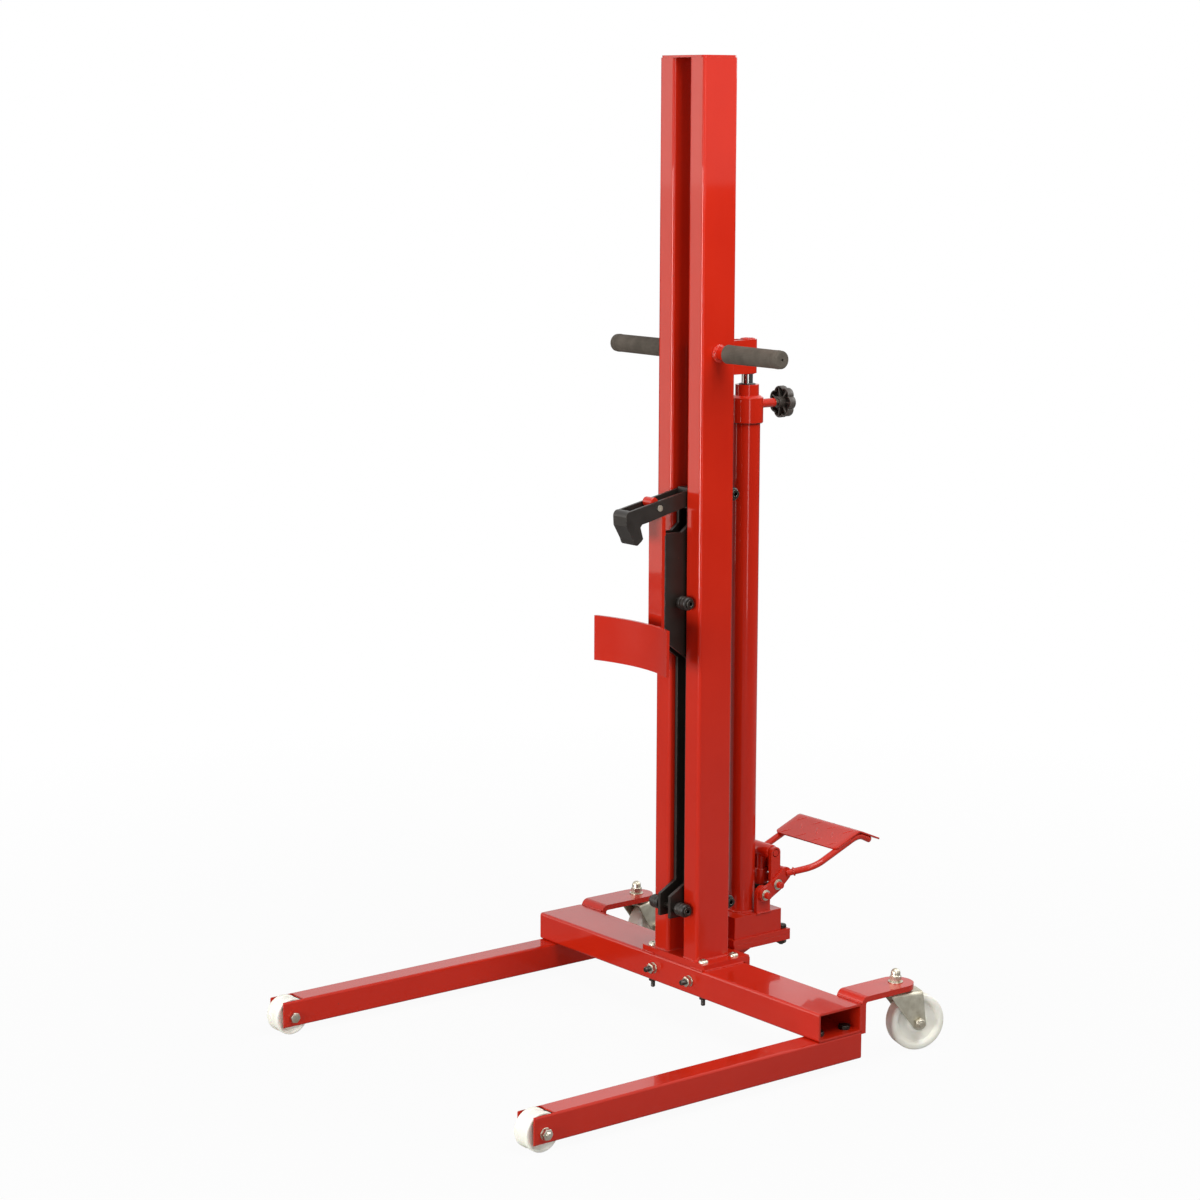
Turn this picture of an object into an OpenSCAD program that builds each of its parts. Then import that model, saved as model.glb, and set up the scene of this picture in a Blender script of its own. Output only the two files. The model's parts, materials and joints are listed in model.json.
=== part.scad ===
// Hydraulic drum trolley: a wheeled base, a twin-post mast and a carriage that a foot pump lifts.
// Millimetres, +Z up. Front, where the drum stands, is -Y. Origin on the floor under the middle.

/* [Mast] */
// Width of one mast post
post_w = 40; // [34:1:44]
// Depth of one mast post, front to back
post_d = 76; // [72:1:80]
// Wall of the mast posts
post_wall = 4; // [3:0.5:6]
// Outer corner radius of the mast posts
post_r = 6; // [5:0.5:8]
// Slot between the two posts
slot_w = 40; // [38:1:46]
// Height of the trolley at the mast cap
mast_h = 1710; // [1700:5:1800]
// Thickness of the cap plate
cap_t = 4; // [3:0.5:6]

/* [Base] */
// Length of the crossbeam
beam_l = 776; // [750:2:790]
// Depth of the crossbeam, front to back
beam_d = 99; // [92:1:104]
// Height of the crossbeam
beam_h = 50; // [48:1:56]
// Wall of the crossbeam
beam_wall = 4; // [3:0.5:5]
// How far the crossbeam stands in front of the mast
beam_lead = 8; // [6:1:10]
// Width of one leg, flush with the end of the crossbeam
leg_w = 45; // [42:1:50]
// Height of one leg
leg_h = 47; // [44:1:52]
// Wall of the legs
leg_wall = 3; // [2.5:0.5:4]
// Length of the legs
leg_l = 698; // [640:2:760]
// Ground clearance under the legs
leg_lift = 15; // [12:1:20]

/* [Front rollers] */
// Diameter of a front roller
roller_d = 65; // [58:1:66]
// Width of a front roller
roller_w = 34; // [28:0.5:36]
// Distance from the front end of a leg back to the roller axle
roller_setback = 21; // [18:1:24]
// Gap behind the roller in the notch over it
notch_gap = 2; // [1:0.5:6]
// Length of the notch under the roller
notch_under = 55; // [54:1:70]
// Shank of the roller axle bolts
axle_d = 10; // [8:0.5:12]
// Shank of the caster bolts and pivot pins
pin_d = 12; // [10:0.5:13]

/* [Casters] */
// Diameter of a caster wheel
wheel_d = 100; // [92:1:102]
// Width of a caster wheel
wheel_w = 30; // [26:1:34]
// Trail of the caster wheel behind its swivel
caster_trail = 38; // [30:1:44]
// Distance from the back of the crossbeam to the caster swivel
caster_reach = 109; // [100:1:130]
// Width of the caster bracket plate
bracket_w = 63; // [56:1:70]
// Thickness of the caster bracket plate
bracket_t = 10; // [8:1:12]
// Turn of the right caster as it stands
turn_right = -19; // [-40:0.5:40]
// Turn of the left caster as it stands
turn_left = 10; // [-40:0.5:40]

/* [Mast foot] */
// Width of the foot plate
foot_w = 172; // [168:2:190]
// How far the foot plate stands in front of the mast
foot_lead = 6; // [4:1:6]
// Thickness of the foot plate
foot_t = 11; // [8:1:12]
// How far the foot plate's flange hangs down behind the crossbeam
flange_drop = 40; // [36:1:46]
// Bolt spacing across the foot plate
foot_bolt_x = 140; // [138:1:150]
// Bolt spacing from front to back
foot_bolt_y = 70; // [60:1:72]
// Shank of the foot bolts
foot_bolt_d = 8; // [6:0.5:10]

/* [Hydraulic cylinder] */
// Distance from the back of the mast to the cylinder axis
cyl_back = 80; // [78:1:90]
// Outside diameter of the cylinder tube
cyl_d = 48; // [46:1:52]
// Bore of the cylinder tube
cyl_bore = 40; // [36:1:42]
// Height of the top of the cylinder tube
cyl_top = 1069; // [1050:1:1080]
// Diameter of the cylinder head
head_d = 58; // [54:1:60]
// Height of the cylinder head
head_h = 48; // [40:1:52]
// Diameter of the gland collar
collar_d = 42; // [38:1:46]
// Height of the gland collar
collar_h = 19.5; // [16:0.5:24]
// Diameter of the ram
ram_d = 20; // [16:1:24]
// Ram left showing with the carriage down
ram_show = 20; // [8:1:24]
// Height of the yoke on the ram
yoke_h = 60; // [50:1:66]
// Diameter of the release knob
knob_d = 58; // [50:1:64]
// Number of lobes on the release knob
knob_lobes = 7; // [5:1:9]

/* [Foot pump] */
// Half width of the pump base
pump_half = 40; // [38:1:44]
// Length of the pump base
pump_l = 112; // [110:1:120]
// Height of the pump base
pump_h = 40; // [34:1:46]
// Thickness of each shelf plate
shelf_t = 10; // [8:1:11]
// Diameter of the pump plunger
plunger_d = 16; // [12:1:18]
// Distance from the cylinder axis back to the plunger axis
plunger_back = 47; // [46:1:50]
// Lever arm from the fulcrum to the link pin, along Y
lever_y = 29; // [28:1:32]
// Lever arm from the fulcrum to the link pin, along Z
lever_z = 15; // [10:1:18]
// Length of the side links between their pins
link_l = 57; // [52:1:64]
// Width of the treadle
treadle_w = 166; // [150:2:190]
// Length of the treadle in front of its ridge
treadle_l = 65; // [50:1:70]
// Length of the flange behind the ridge
treadle_flange = 58; // [40:1:64]
// Diameter of the pedal arms
arm_rod_d = 12; // [10:0.5:14]

/* [Carriage] */
// Width of the carriage in the slot
slide_w = 34; // [32:1:35]
// Depth of the slide beam
slide_d = 38; // [34:1:40]
// Diameter of a guide roller
guide_d = 24; // [20:1:26]
// Length of a guide roller
guide_w = 22; // [16:1:24]
// Height of the carriage cheeks
cheek_top = 925; // [910:1:928]
// Height of the beak pivot
beak_z = 950; // [944:1:956]
// Reach of the beak from its pivot to its nose
beak_reach = 142; // [138:1:146]
// Width of the beak arm
beak_w = 36; // [34:1:37]
// Plate thickness of the beak arm
beak_t = 5; // [4:0.5:6]
// Radius of the drum body that the saddle fits
drum_r = 288; // [280:1:296]
// Distance from the mast face to the drum axis
drum_out = 378; // [374:1:384]
// Distance from the mast face to the back of the backrest bar
rest_out = 44; // [42:1:48]
// Lower end of the backrest bar
rest_z = 645; // [620:1:652]
// Height of the curved saddle
saddle_h = 80; // [60:1:90]

/* [Grips] */
// Height of the hand grips
grip_z = 1201; // [1150:1:1300]
// Diameter of the handle bars
bar_d = 22; // [18:1:25]
// Diameter of a grip
grip_d = 33; // [30:1:38]
// Length of a grip
grip_l = 140; // [110:1:150]
// Bar left bare beside the post
grip_gap = 24; // [20:1:40]

/* [Hidden] */
$fn = 48;
eps = 0.01;
run = 0.05;
cross_play = 1.5;
side = 0.3;
hex_s = 17;
hex_m = 19;
nut_d = 18;
through_d = 10;
guide_pin = 10;
catch_d = 8;
spindle_d = 8;
washer_t = 2;
head_t = 7.5;
nut_t = 9;
tread_pitch = 41.5;
tread_bar = 27;
arm_pitch = 22;
plate_bolt_x = 30;
shelf_bolt_x = 50;
rest_t = 8;
link_r = 11;
cross_d = 22;

beam_z = leg_lift + leg_h;
foot_z = beam_z + beam_h;
post_z = foot_z + foot_t;
post_out = slot_w / 2 + post_w;
beam_back = beam_d - beam_lead;
foot_back = beam_back + foot_t;
foot_mid = (foot_back - foot_lead) / 2;
leg_x = (beam_l - leg_w) / 2;
leg_front = beam_back - leg_l;
roller_y = leg_front + roller_setback;
notch_rise = beam_z - leg_wall - roller_d / 2;
notch_l = roller_setback + sqrt(max(0, roller_d * roller_d / 4 - notch_rise * notch_rise)) + notch_gap;
shelf_z = post_z - 4;
plate_z = shelf_z + shelf_t;
pump_z = plate_z + shelf_t;
pump_top = pump_z + pump_h;
cyl_y = post_d + cyl_back;
pump_front = cyl_y - 50;
shelf_back = pump_front + pump_l + 18;
plunger_y = cyl_y + plunger_back;
fulcrum_y = plunger_y - lever_y;
fulcrum_z = pump_top + 33;
link_z = fulcrum_z + lever_z;
cross_z = link_z + link_l;
weld_y = plunger_y + 20;
weld_z = link_z + 17;
treadle_y = plunger_y + 108;
treadle_z = link_z + 54;
ridge_y = treadle_y + treadle_l * cos(arm_pitch);
ridge_z = treadle_z + treadle_l * sin(arm_pitch);
flange_pitch = -23;
tread_t = 3;
lip_y = ridge_y + treadle_flange * cos(flange_pitch) - tread_t * sin(flange_pitch);
collar_z = cyl_top + head_h;
collar_top = collar_z + collar_h;
yoke_z = collar_top + ram_show;
yoke_top = yoke_z + yoke_h;
valve_z = cyl_top + 31;
valve_y = cyl_y + 63;
slide_y = post_d - 2 - slide_d;
slide_z = 196;
low_roller_z = slide_z + 18;
front_roller_z = 765;
back_roller_z = 950;
front_axle_y = -guide_d / 2 - side;
back_axle_y = post_d + guide_d / 2 + side;
guide_x = slot_w / 2 + post_r - 2;
caster_x = beam_l / 2 - bracket_w / 2;
caster_y = beam_back + caster_reach;
bracket_top = beam_z + beam_h + 10;
bracket_low = bracket_top - bracket_t;
front_reach = roller_d / 2 - roller_y;
mast_y = (front_reach - lip_y) / 2;
root_y = slide_y - 14;
nose_y = root_y - beak_reach;
nose_z = beak_z - 16;
root = [root_y, beak_z];
nose = [nose_y, nose_z];
heel = nose + [35, -23];
root_r = 13.4;
catch_y = nose_y + 63;
catch_z = nose_z;
stop_z = heel[1] + (root[1] - root_r - heel[1]) * (heel[0] + rest_out + rest_t) / (heel[0] - root[0]) - side;

red = [0.78, 0.16, 0.13];
black = [0.12, 0.11, 0.1];
zinc = [0.72, 0.7, 0.64];
nylon = [0.93, 0.92, 0.86];

// Moves a piece from the mast's own place to the middle of the trolley
module place() translate([0, mast_y, 0]) children();

// Draws a piece on the right and on the left
module both() {
  children();
  mirror([1, 0, 0]) children();
}

// Rectangle with round corners, centred
module rrect(w, h, r) {
  square([w - 2 * r, h], center = true);
  square([w, h - 2 * r], center = true);
  for (x = [-1, 1], y = [-1, 1])
    translate([x * (w / 2 - r), y * (h / 2 - r)]) circle(r);
}

// Rectangular hollow section along Z, centred across
module tube_section(w, h, wall, r, l) linear_extrude(l) difference() {
  rrect(w, h, r);
  rrect(w - 2 * wall, h - 2 * wall, max(r - wall, 1));
}

// Round bar along X between two places
module bar_x(d, x0, x1, y, z) translate([x0, y, z]) rotate([0, 90, 0])
  cylinder(d = d, h = x1 - x0);

// Round bar along Y between two places
module bar_y(d, x, y0, y1, z) translate([x, y0, z]) rotate([-90, 0, 0]) cylinder(d = d, h = y1 - y0);

// Round bar along Z between two places
module bar_z(d, x, y, z0, z1) translate([x, y, z0]) cylinder(d = d, h = z1 - z0);

// Round bar between two points
module rod(p, q, d) {
  v = q - p;
  translate(p) rotate([0, acos(v[2] / norm(v)), atan2(v[1], v[0])]) cylinder(d = d, h = norm(v));
}

// Sheet cut to an outline in Y and Z, between two places along X
module sheet_yz(x0, x1) translate([x0, 0, 0]) rotate([90, 0, 90]) linear_extrude(x1 - x0) children();

// Strip of one width with round ends between two points
module strip(p, q, r) {
  a = atan2(q[1] - p[1], q[0] - p[0]);
  polygon(concat(arc(p, r, a + 90, a + 270, 20), arc(q, r, a - 90, a + 90, 20)));
}

// Points along an arc
function arc(c, r, a0, a1, n) = [for (i = [0:n]) c + r * turned(a0 + (a1 - a0) * i / n)];
function turned(a) = [cos(a), sin(a)];

// Hexagon head or nut along Z
module hex(af, h) cylinder(d = af / cos(30), h = h, $fn = 6);

// Base
module crossbeam() place() color(red) difference() {
  translate([-beam_l / 2, beam_back - beam_d / 2, beam_z + beam_h / 2]) rotate([90, 0, 90])
    tube_section(beam_d, beam_h, beam_wall, 5, beam_l);
  for (x = [-1, 1], y = foot_bolt_places())
    bar_z(foot_bolt_d + 2 * run, x * foot_bolt_x / 2, y, beam_z - 1, foot_z + 1);
  for (x = [-1, 1])
    bar_y(through_d + 2 * run, x * shelf_bolt_x, -beam_lead - 1, beam_back + 1, shelf_bolt_z());
  for (x = [-1, 1], y = leg_bolt_places())
    bar_z(pin_d + 2 * run, x * leg_x, y, beam_z - 1, beam_z + beam_wall + 1);
}

function foot_bolt_places() = [foot_mid - 6 - foot_bolt_y / 2, foot_mid - 6 + foot_bolt_y / 2];
function leg_bolt_places() = [beam_back - beam_d / 2 - 30, beam_back - beam_d / 2 + 30];
function shelf_bolt_z() = beam_z + beam_h / 2;

module leg() place() color(red) difference() {
  translate([leg_x, beam_back, beam_z - leg_h / 2]) rotate([90, 0, 0])
    tube_section(leg_w, leg_h, leg_wall, 4, leg_l);
  translate([leg_x - leg_w / 2 + leg_wall, leg_front - 1, 0]) {
    cube([leg_w - 2 * leg_wall, notch_l + 1, beam_z + 1]);
    cube([leg_w - 2 * leg_wall, notch_under + 1, leg_lift + 10]);
  }
  bar_x(axle_d + 2 * run, leg_x - leg_w, leg_x + leg_w, roller_y, roller_d / 2);
  for (y = leg_bolt_places()) bar_z(pin_d + 2 * run, leg_x, y, beam_z - leg_wall - 1, beam_z + 1);
}

module leg_right() leg();
module leg_left() mirror([1, 0, 0]) leg();

module leg_bolts() place() color(zinc) both() for (y = leg_bolt_places()) {
  bar_z(pin_d, leg_x, y, beam_z - leg_wall - nut_t - 3, beam_z + beam_wall + 1);
  translate([leg_x, y, beam_z + beam_wall]) hex(hex_m, head_t);
  translate([leg_x, y, beam_z - leg_wall - nut_t]) hex(hex_m, nut_t);
}

module roller_axles() place() color(zinc) both() {
  bar_x(axle_d, leg_x - leg_w / 2 - 1, leg_x + leg_w / 2 + 12, roller_y, roller_d / 2);
  translate([leg_x - leg_w / 2 - 6.5, roller_y, roller_d / 2]) rotate([0, 90, 0]) hex(hex_s, 6.5);
  translate([leg_x + leg_w / 2, roller_y, roller_d / 2]) rotate([0, 90, 0]) hex(hex_s, 8.5);
}

module front_roller() place() color(nylon) translate([leg_x, roller_y, roller_d / 2]) rotate([0, 90, 0]) {
  groove = 1.5;
  half = roller_w / 2;
  rim = roller_d / 2;
  rotate_extrude() polygon([[axle_d / 2 + run, -half], [13, -half], [15, -half + 2], [rim - 7, -half + 2],
    [rim - 5, -half], [rim - 2, -half], [rim, -half + 2], [rim, -half + 9], [rim - groove, -half + 10.5],
    [rim - groove, half - 10.5], [rim, half - 9], [rim, half - 2], [rim - 2, half], [rim - 5, half],
    [rim - 7, half - 2], [15, half - 2], [13, half], [axle_d / 2 + run, half]]);
}

module front_roller_right() front_roller();
module front_roller_left() mirror([1, 0, 0]) front_roller();

// Caster brackets, each one plate bent over the back of the crossbeam
module caster_bracket() place() color(red) {
  bend = 4;
  difference() {
    union() {
      translate([caster_x - bracket_w / 2, beam_back, beam_z - 4])
        cube([bracket_w, bracket_t, bracket_top - beam_z + 4 - bend - bracket_t]);
      translate([caster_x - bracket_w / 2, beam_back + bracket_t + bend, bracket_low])
        cube([bracket_w, caster_reach - bracket_t - bend, bracket_t]);
      bar_z(bracket_w, caster_x, caster_y, bracket_low, bracket_top);
      intersection() {
        difference() {
          bar_x(2 * (bracket_t + bend), caster_x - bracket_w / 2, caster_x + bracket_w / 2,
            beam_back + bracket_t + bend, bracket_low - bend);
          bar_x(2 * bend, caster_x - bracket_w, caster_x + bracket_w, beam_back + bracket_t + bend,
            bracket_low - bend);
        }
        translate([caster_x - bracket_w / 2, beam_back, bracket_low - bend])
          cube([bracket_w, bracket_t + bend, bracket_t + bend]);
      }
    }
    bar_z(pin_d + 2 * run, caster_x, caster_y, bracket_low - 1, bracket_top + 1);
  }
}

module caster_bracket_right() caster_bracket();
module caster_bracket_left() mirror([1, 0, 0]) caster_bracket();

crown_t = 3;
race_t = 5;
crown_z = bracket_low - side - race_t - crown_t;

module king_bolts() place() color(zinc) both() translate([caster_x, caster_y, 0]) {
  bar_z(pin_d, 0, 0, crown_z - side - 4, bracket_top + washer_t + 1);
  bar_z(20, 0, 0, crown_z - side - 4, crown_z - side);
  bar_z(26, 0, 0, bracket_top, bracket_top + washer_t);
  translate([0, 0, bracket_top + washer_t]) {
    hex(nut_d, 12);
    cylinder(d = nut_d - 1, h = 14);
    translate([0, 0, 14]) sphere(d = nut_d - 1);
  }
}

module at_caster(hand) place() translate([hand * caster_x, caster_y, 0])
  rotate(hand > 0 ? turn_right : turn_left) children();

// Pressed fork, drawn with its trail along +Y
module fork(hand) at_caster(hand) color(zinc) difference() {
  union() {
    translate([0, 0, crown_z + crown_t]) cylinder(d = 44, h = race_t);
    translate([-wheel_w / 2 - 5, -22, crown_z]) cube([wheel_w + 10, caster_trail + 28, crown_t]);
    both() sheet_yz(wheel_w / 2 + 2, wheel_w / 2 + 5) {
      polygon([[-16, crown_z + crown_t], [-16, crown_z - 6], [caster_trail - 21, wheel_d / 2 + 9],
        [caster_trail - 12, wheel_d / 2 - 5], [caster_trail + 12, wheel_d / 2 - 5],
        [caster_trail + 6, crown_z + crown_t]]);
      translate([caster_trail, wheel_d / 2]) circle(13);
    }
  }
  bar_z(pin_d + 2 * run, 0, 0, crown_z - 1, bracket_low);
  bar_x(pin_d + 2 * run, -wheel_w, wheel_w, caster_trail, wheel_d / 2);
}

module caster_fork_right() fork(1);
module caster_fork_left() fork(-1);

module caster_axle(hand) at_caster(hand) color(zinc) translate([0, caster_trail, wheel_d / 2]) {
  bar_x(pin_d, -wheel_w / 2 - 8, wheel_w / 2 + 8, 0, 0);
  translate([wheel_w / 2 + 5, 0, 0]) rotate([0, 90, 0]) hex(nut_d, 6);
  translate([-wheel_w / 2 - 11, 0, 0]) rotate([0, 90, 0]) hex(nut_d, 6);
}

module caster_axle_right() caster_axle(1);
module caster_axle_left() caster_axle(-1);

module caster_wheel(hand) at_caster(hand) color(nylon) translate([0, caster_trail, wheel_d / 2])
  rotate([0, 90, 0]) rotate_extrude($fn = 64) {
    half = wheel_w / 2;
    rim = wheel_d / 2;
    polygon([[pin_d / 2 + run, -half], [15, -half], [18, -half + 6], [rim - 11, -half + 6],
      [rim - 8, -half + 1], [rim - 3, -half + 1], [rim, -half + 5], [rim, half - 5], [rim - 3, half - 1],
      [rim - 8, half - 1], [rim - 11, half - 6], [18, half - 6], [15, half], [pin_d / 2 + run, half]]);
  }

module caster_wheel_right() caster_wheel(1);
module caster_wheel_left() caster_wheel(-1);

// Mast
module mast_post() place() color(red)
  translate([slot_w / 2 + post_w / 2, post_d / 2, post_z])
    tube_section(post_w, post_d, post_wall, post_r, mast_h - cap_t - post_z);

module mast_post_right() mast_post();
module mast_post_left() mirror([1, 0, 0]) mast_post();

module mast_cap() place() color(red) translate([0, post_d / 2, mast_h - cap_t])
  linear_extrude(cap_t) rrect(2 * post_out, post_d, 10);

module mast_foot() place() color(red) difference() {
  union() {
    translate([0, foot_mid, foot_z]) linear_extrude(foot_t) rrect(foot_w, foot_back + foot_lead, 3);
    translate([-foot_w / 2, beam_back, post_z - flange_drop]) cube([foot_w, foot_t, flange_drop - 3]);
  }
  for (x = [-1, 1], y = foot_bolt_places())
    bar_z(foot_bolt_d + 2 * run, x * foot_bolt_x / 2, y, foot_z - 1, post_z + 1);
  for (x = [-1, 1])
    bar_y(through_d + 2 * run, x * shelf_bolt_x, beam_back - 1, foot_back + 1, shelf_bolt_z());
}

// Foot bolts with low dome heads, and nuts under the crossbeam
module foot_bolts() place() color(zinc) both() for (y = foot_bolt_places())
  translate([foot_bolt_x / 2, y, 0]) {
  dome = 2 * foot_bolt_d;
  bar_z(foot_bolt_d, 0, 0, beam_z - 18, post_z + 1);
  translate([0, 0, post_z]) intersection() {
    cylinder(d = dome, h = 5);
    translate([0, 0, -7.5]) sphere(d = 25);
  }
  translate([0, 0, beam_z - 6.5]) hex(1.625 * foot_bolt_d, 6.5);
}

module handle_bars() place() color(red) both() {
  bar_x(bar_d, post_out, post_out + grip_gap + grip_l - 12, post_d / 2, grip_z);
  translate([post_out, post_d / 2, grip_z]) rotate([0, 90, 0]) cylinder(d1 = bar_d + 9, d2 = bar_d, h = 5);
}

// Rubber grip with a rim at its end and a vent hole
module grip() place() color(black) translate([post_out + grip_gap, post_d / 2, grip_z]) rotate([0, 90, 0])
  difference() {
    union() {
      cylinder(d1 = grip_d, d2 = grip_d - 2, h = grip_l - 8);
      translate([0, 0, grip_l - 9]) cylinder(d = grip_d, h = 7);
      translate([0, 0, grip_l - 3]) cylinder(d1 = grip_d, d2 = grip_d - 6, h = 3);
    }
    translate([0, 0, -1]) cylinder(d = bar_d + 2 * run, h = grip_l - 11);
    translate([0, 0, grip_l - 20]) cylinder(d = 5, h = 30);
  }

module grip_right() grip();
module grip_left() mirror([1, 0, 0]) grip();

// Pump shelf
function plate_bolt_back() = shelf_back - 9;

module pump_shelf() place() color(red) difference() {
  union() {
    translate([-pump_half - 4, foot_back, shelf_z])
      cube([2 * pump_half + 8, shelf_back - foot_back, shelf_t]);
    for (x = [-22, 14]) sheet_yz(x, x + 8) polygon([[foot_back, post_z - flange_drop + 4],
      [foot_back, shelf_z + eps], [cyl_y + 26, shelf_z + eps]]);
  }
  for (x = [-1, 1])
    bar_z(through_d + 2 * run, x * plate_bolt_x, plate_bolt_back(), shelf_z - 1, plate_z + 1);
}

// Bolts through the crossbeam that hold the flange of the foot plate
module shelf_bolts() place() color(zinc) both() translate([shelf_bolt_x, 0, shelf_bolt_z()]) {
  bar_y(through_d, 0, -beam_lead - 21, foot_back + 1, 0);
  translate([0, foot_back, 0]) rotate([-90, 0, 0]) hex(hex_s, 6.5);
  bar_y(20, 0, -beam_lead - washer_t, -beam_lead, 0);
  translate([0, -beam_lead - washer_t, 0]) rotate([90, 0, 0]) hex(hex_s, 8);
}

module pump_plate() place() color(red) difference() {
  translate([-pump_half - 4, foot_back - 2, plate_z])
    cube([2 * pump_half + 8, shelf_back - foot_back + 2, shelf_t]);
  for (x = [-1, 1])
    bar_z(through_d + 2 * run, x * plate_bolt_x, plate_bolt_back(), plate_z - 1, pump_z + 1);
}

module plate_bolts() place() color(zinc) both() translate([plate_bolt_x, plate_bolt_back(), 0]) {
  bar_z(through_d, 0, 0, shelf_z - 11, pump_z + 1);
  translate([0, 0, pump_z]) hex(hex_s, 6.5);
  translate([0, 0, shelf_z - 8]) hex(hex_s, 8);
}

// Pump base with the two lugs that carry the lever
module pump_base() place() color(red) difference() {
  union() {
    translate([0, pump_front + pump_l / 2, pump_z]) linear_extrude(pump_h) rrect(2 * pump_half, pump_l, 2);
    both() sheet_yz(pump_half - 8, pump_half) {
      translate([fulcrum_y - 16, pump_top - eps]) square([32, fulcrum_z - pump_top + eps]);
      translate([fulcrum_y, fulcrum_z]) circle(16);
    }
  }
  bar_z(plunger_d + 2 * run, 0, plunger_y, pump_z + 4, pump_top + 1);
  bar_x(pin_d + 2 * run, -pump_half - 1, pump_half + 1, fulcrum_y, fulcrum_z);
}

module pump_barrel() place() color(red) difference() {
  bar_z(28, 0, plunger_y, pump_top, pump_top + 34);
  bar_z(plunger_d + 2 * run, 0, plunger_y, pump_top - 1, pump_top + 40);
}

// Wiper of the plunger and gland seal of the ram
module rod_seals() place() color(black) {
  difference() {
    bar_z(30, 0, plunger_y, pump_top + 34, pump_top + 41);
    bar_z(plunger_d + 2 * run, 0, plunger_y, pump_top + 30, pump_top + 50);
  }
  difference() {
    bar_z(30, 0, cyl_y, collar_z, collar_z + 8);
    bar_z(ram_d + 2 * run, 0, cyl_y, collar_z - 1, collar_z + 9);
  }
}

// Cylinder
module cylinder_tube() place() color(red) difference() {
  bar_z(cyl_d, 0, cyl_y, pump_top, cyl_top);
  bar_z(cyl_bore, 0, cyl_y, pump_top + 8, cyl_top + 1);
}

module cylinder_head() place() color(red) difference() {
  union() {
    bar_z(head_d, 0, cyl_y, cyl_top, collar_z - 4);
    translate([0, cyl_y, collar_z - 4]) cylinder(d1 = head_d, d2 = collar_d + 4, h = 4);
    bar_y(16, 0, cyl_y + 20, valve_y, valve_z);
  }
  bar_z(ram_d + 2 * run, 0, cyl_y, cyl_top - 1, collar_z + 1);
  bar_y(spindle_d + 2 * run, 0, cyl_y + 24, valve_y + 1, valve_z);
}

module gland_collar() place() color(red) difference() {
  bar_z(collar_d, 0, cyl_y, collar_z, collar_top);
  bar_z(30 + 2 * run, 0, cyl_y, collar_z - 1, collar_z + 8);
  bar_z(ram_d + 2 * run, 0, cyl_y, collar_z, collar_top + 1);
}

module ram() place() color(zinc) bar_z(ram_d, 0, cyl_y, pump_top + 60, yoke_top - 8);

module piston() place() color(black) difference() {
  bar_z(cyl_bore - 2 * run, 0, cyl_y, pump_top + 30, pump_top + 60);
  bar_z(10, 0, cyl_y, pump_top + 29, pump_top + 50);
}

// Release knob with a hollow ribbed back
module release_knob() place() color(black) translate([0, valve_y + 7, valve_z]) rotate([-90, 0, 0])
  difference() {
    union() {
      translate([0, 0, 8]) linear_extrude(15) polygon(lobed(knob_d / 2, 5, 12));
      cylinder(d = 20, h = 9);
    }
    translate([0, 0, 7]) linear_extrude(10) difference() {
      polygon(lobed(knob_d / 2 - 3, 5, 12));
      circle(11);
      for (i = [0:knob_lobes - 1]) rotate(i * 360 / knob_lobes) translate([0, -1.3]) square([knob_d, 2.6]);
    }
    translate([0, 0, -1]) cylinder(d = spindle_d + 2 * run, h = 19);
  }

// Outline with lobes, with n points to a lobe
function lobed(r, deep, n) = [for (i = [0:knob_lobes * n - 1])
  (r - deep + deep * sqrt(abs(cos(180 * i / n)))) * turned(360 * i / (n * knob_lobes))];

module valve_spindle() place() color(zinc) {
  bar_y(spindle_d, 0, cyl_y + 30, valve_y + 24, valve_z);
  bar_y(13, 0, valve_y + side, valve_y + 6.7, valve_z);
}

// Pump linkage
lever_out = pump_half + 6;

// Two lever plates joined by a cross tube behind the links
module lever_plates() place() color(red) {
  both() sheet_yz(pump_half + side, lever_out) difference() {
    union() {
      strip([fulcrum_y, fulcrum_z], [plunger_y, link_z], 13);
      strip([plunger_y, link_z], [weld_y, weld_z], 12);
    }
    translate([fulcrum_y, fulcrum_z]) circle(pin_d / 2 + run);
    translate([plunger_y, link_z]) circle(pin_d / 2 + run);
  }
  bar_x(16, -pump_half - 1, pump_half + 1, weld_y + 3, weld_z + 2);
}

module pivot_bolts() place() color(zinc) both() for (p = [[fulcrum_y, fulcrum_z], [plunger_y, link_z]]) {
  bar_x(pin_d, pump_half - 11, lever_out + 5, p[0], p[1]);
  bar_x(16, pump_half - 10, pump_half - 8 - side, p[0], p[1]);
  bar_x(20, lever_out, lever_out + washer_t, p[0], p[1]);
  bar_x(16, lever_out, lever_out + 3.5, p[0], p[1]);
}

module side_links() place() color(red) both() sheet_yz(pump_half - 8 + side, pump_half - side) difference() {
  strip([plunger_y, link_z], [plunger_y, cross_z], link_r);
  translate([plunger_y, link_z]) circle(pin_d / 2 + run);
  translate([plunger_y, cross_z]) circle(pin_d / 2 + cross_play);
}

module crosshead_pin() place() color(zinc) {
  bar_x(pin_d, -pump_half + side, pump_half - side, plunger_y, cross_z);
  both() bar_x(pin_d + 4, pump_half - 10, pump_half - 8, plunger_y, cross_z);
}

module crosshead() place() color(red) difference() {
  bar_x(cross_d, -pump_half + 10 + side, pump_half - 10 - side, plunger_y, cross_z);
  bar_x(pin_d + 2 * run, -pump_half, pump_half, plunger_y, cross_z);
}

module plunger() place() color(red) difference() {
  bar_z(plunger_d, 0, plunger_y, pump_top - 8, cross_z);
  bar_x(cross_d, -pump_half, pump_half, plunger_y, cross_z);
}

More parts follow.
